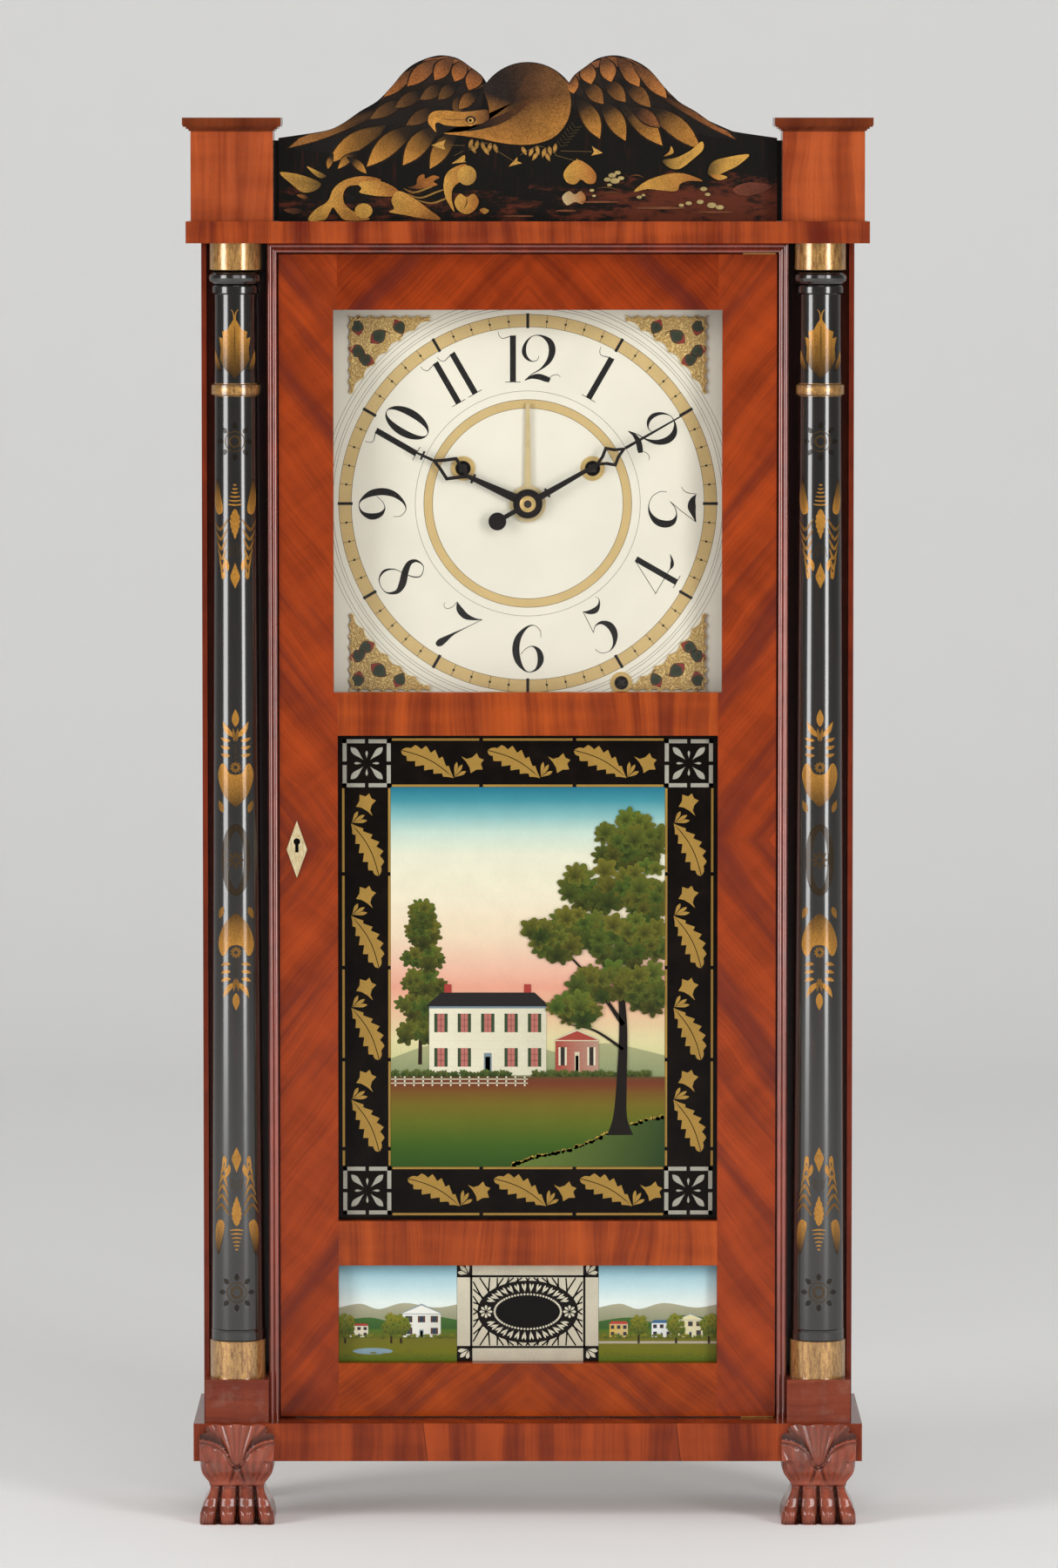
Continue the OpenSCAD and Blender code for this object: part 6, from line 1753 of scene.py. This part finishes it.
                art.bloom(oval(x0 + 6 + n * 7.6 + dice.uniform(-2, 2), 105.5 + dice.uniform(-1.5, 3),
                               dice.uniform(1.2, 2.6), 0.5, 8), "857a2a", "596020")
            art.clip(x0, x1, foot, top, first)
        return art


class CLOCK_OT_movement(ClockOperator, bpy.types.Operator):
    """Wooden movement, weights, cords, pendulum, bell and alarm"""

    bl_idname = "clock.movement"
    bl_label = "Movement"

    def build(self):
        cherry = wood().cherry
        dress(plain_wood("plate_oak", upright, "a57a4a", 11.0, 0.55), "front_plate", "back_plate")
        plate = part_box("front_plate")[0].y / MM - 2.0
        dress(plain_wood("wheel_cherry", crossways, cherry, 17.0, 0.45, iron=plate), "great_wheel",
              "strike_wheel", "pin_wheel", "minute_wheel", "hour_wheel", "third_wheel", "centre_wheel",
              "escape_wheel", "alarm_drum")
        dress(plain_wood("drum_wood", crossways, "7d4a2a", 23.0, 0.45, iron=plate),
              "time_drum", "strike_drum", "time_pulley", "strike_pulley")
        dress(worn_metal("cast_iron", metal().iron, 0.55, "5b3420", 0.6, 1.2, 0.6), "time_weight",
              "strike_weight", "bell")
        dress(worn_metal("iron_wire", "57534e", 0.35, "3a2a20", 0.5, 0.1), "verge", "pendulum_rod",
              "hammer", "alarm_hammer")
        dress(worn_metal("bob_brass", metal().brass, 0.25), "pendulum_bob")
        cord = Finish("weight_cord", Roughness=0.85)
        x, y, z = cord.place()
        twist = cord.maths("SINE", z * 3.2 + x * 1.4 + y * 1.4)
        fuzz = cord.noise(x * 2, y * 2, z * 2, 3.0)
        cord.put("Base Color", cord.mix(twist.rise(-0.6, 0.8), "6d5a3c", "b9a47a"))
        cord.bump(twist * 0.6 + fuzz, 0.3)
        dress(cord.material, "cord_leads")
        for name in ("time", "strike"):
            low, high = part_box(name + "_cord")
            x, y, r = (low.x + high.x) / 2 / MM, (low.y + high.y) / 2 / MM, (high.x - low.x) / 2 / MM
            line = Tubes(12)
            line.tube([(x, y, z, r) for z in np.linspace(low.z / MM, high.z / MM, 120)])
            for n, (px, py, pz) in enumerate(line.points):
                strand = 0.9 + 0.1 * math.cos(3 * math.atan2(py - y, px - x) + pz * 1.1)
                line.points[n] = (x + (px - x) * strand, y + (py - y) * strand, pz)
            piece = line.make(name + "_line", "case", cord.material, "cord")
            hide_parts(name + "_cord")
            x * MM
            y * MM
            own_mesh(piece)


GROUPS = {"clock_wood": ClockWood, "clock_paint": ClockPaint, "clock_metal": ClockMetal,
          "clock_stage": ClockStage}
STEPS = (CLOCK_OT_stage, CLOCK_OT_case, CLOCK_OT_door, CLOCK_OT_columns, CLOCK_OT_splat, CLOCK_OT_feet,
         CLOCK_OT_dial, CLOCK_OT_tablets, CLOCK_OT_movement)


class CLOCK_PT_panel(bpy.types.Panel):
    """Sizes, colours and the steps that make the clock"""

    bl_idname = "CLOCK_PT_panel"
    bl_label = "Shelf clock"
    bl_space_type = "VIEW_3D"
    bl_region_type = "UI"
    bl_category = "Shelf clock"

    def draw(self, context):
        for name, group in GROUPS.items():
            box = self.layout.box()
            for key in group.__annotations__:
                box.prop(getattr(context.scene, name), key)
        for step in STEPS:
            self.layout.operator(step.bl_idname)


def register():
    for kind in (*GROUPS.values(), *STEPS, CLOCK_PT_panel):
        bpy.utils.register_class(kind)
    for name, group in GROUPS.items():
        setattr(bpy.types.Scene, name, bpy.props.PointerProperty(type=group))


def unregister():
    for name in GROUPS:
        delattr(bpy.types.Scene, name)
    for kind in reversed((*GROUPS.values(), *STEPS, CLOCK_PT_panel)):
        bpy.utils.unregister_class(kind)


def main():
    register()
    bpy.ops.clock.stage()
    bpy.ops.clock.case()
    bpy.ops.clock.door()
    bpy.ops.clock.columns()
    bpy.ops.clock.splat()
    bpy.ops.clock.feet()
    bpy.ops.clock.dial()
    bpy.ops.clock.tablets()
    bpy.ops.clock.movement()


if __name__ == "__main__":
    main()
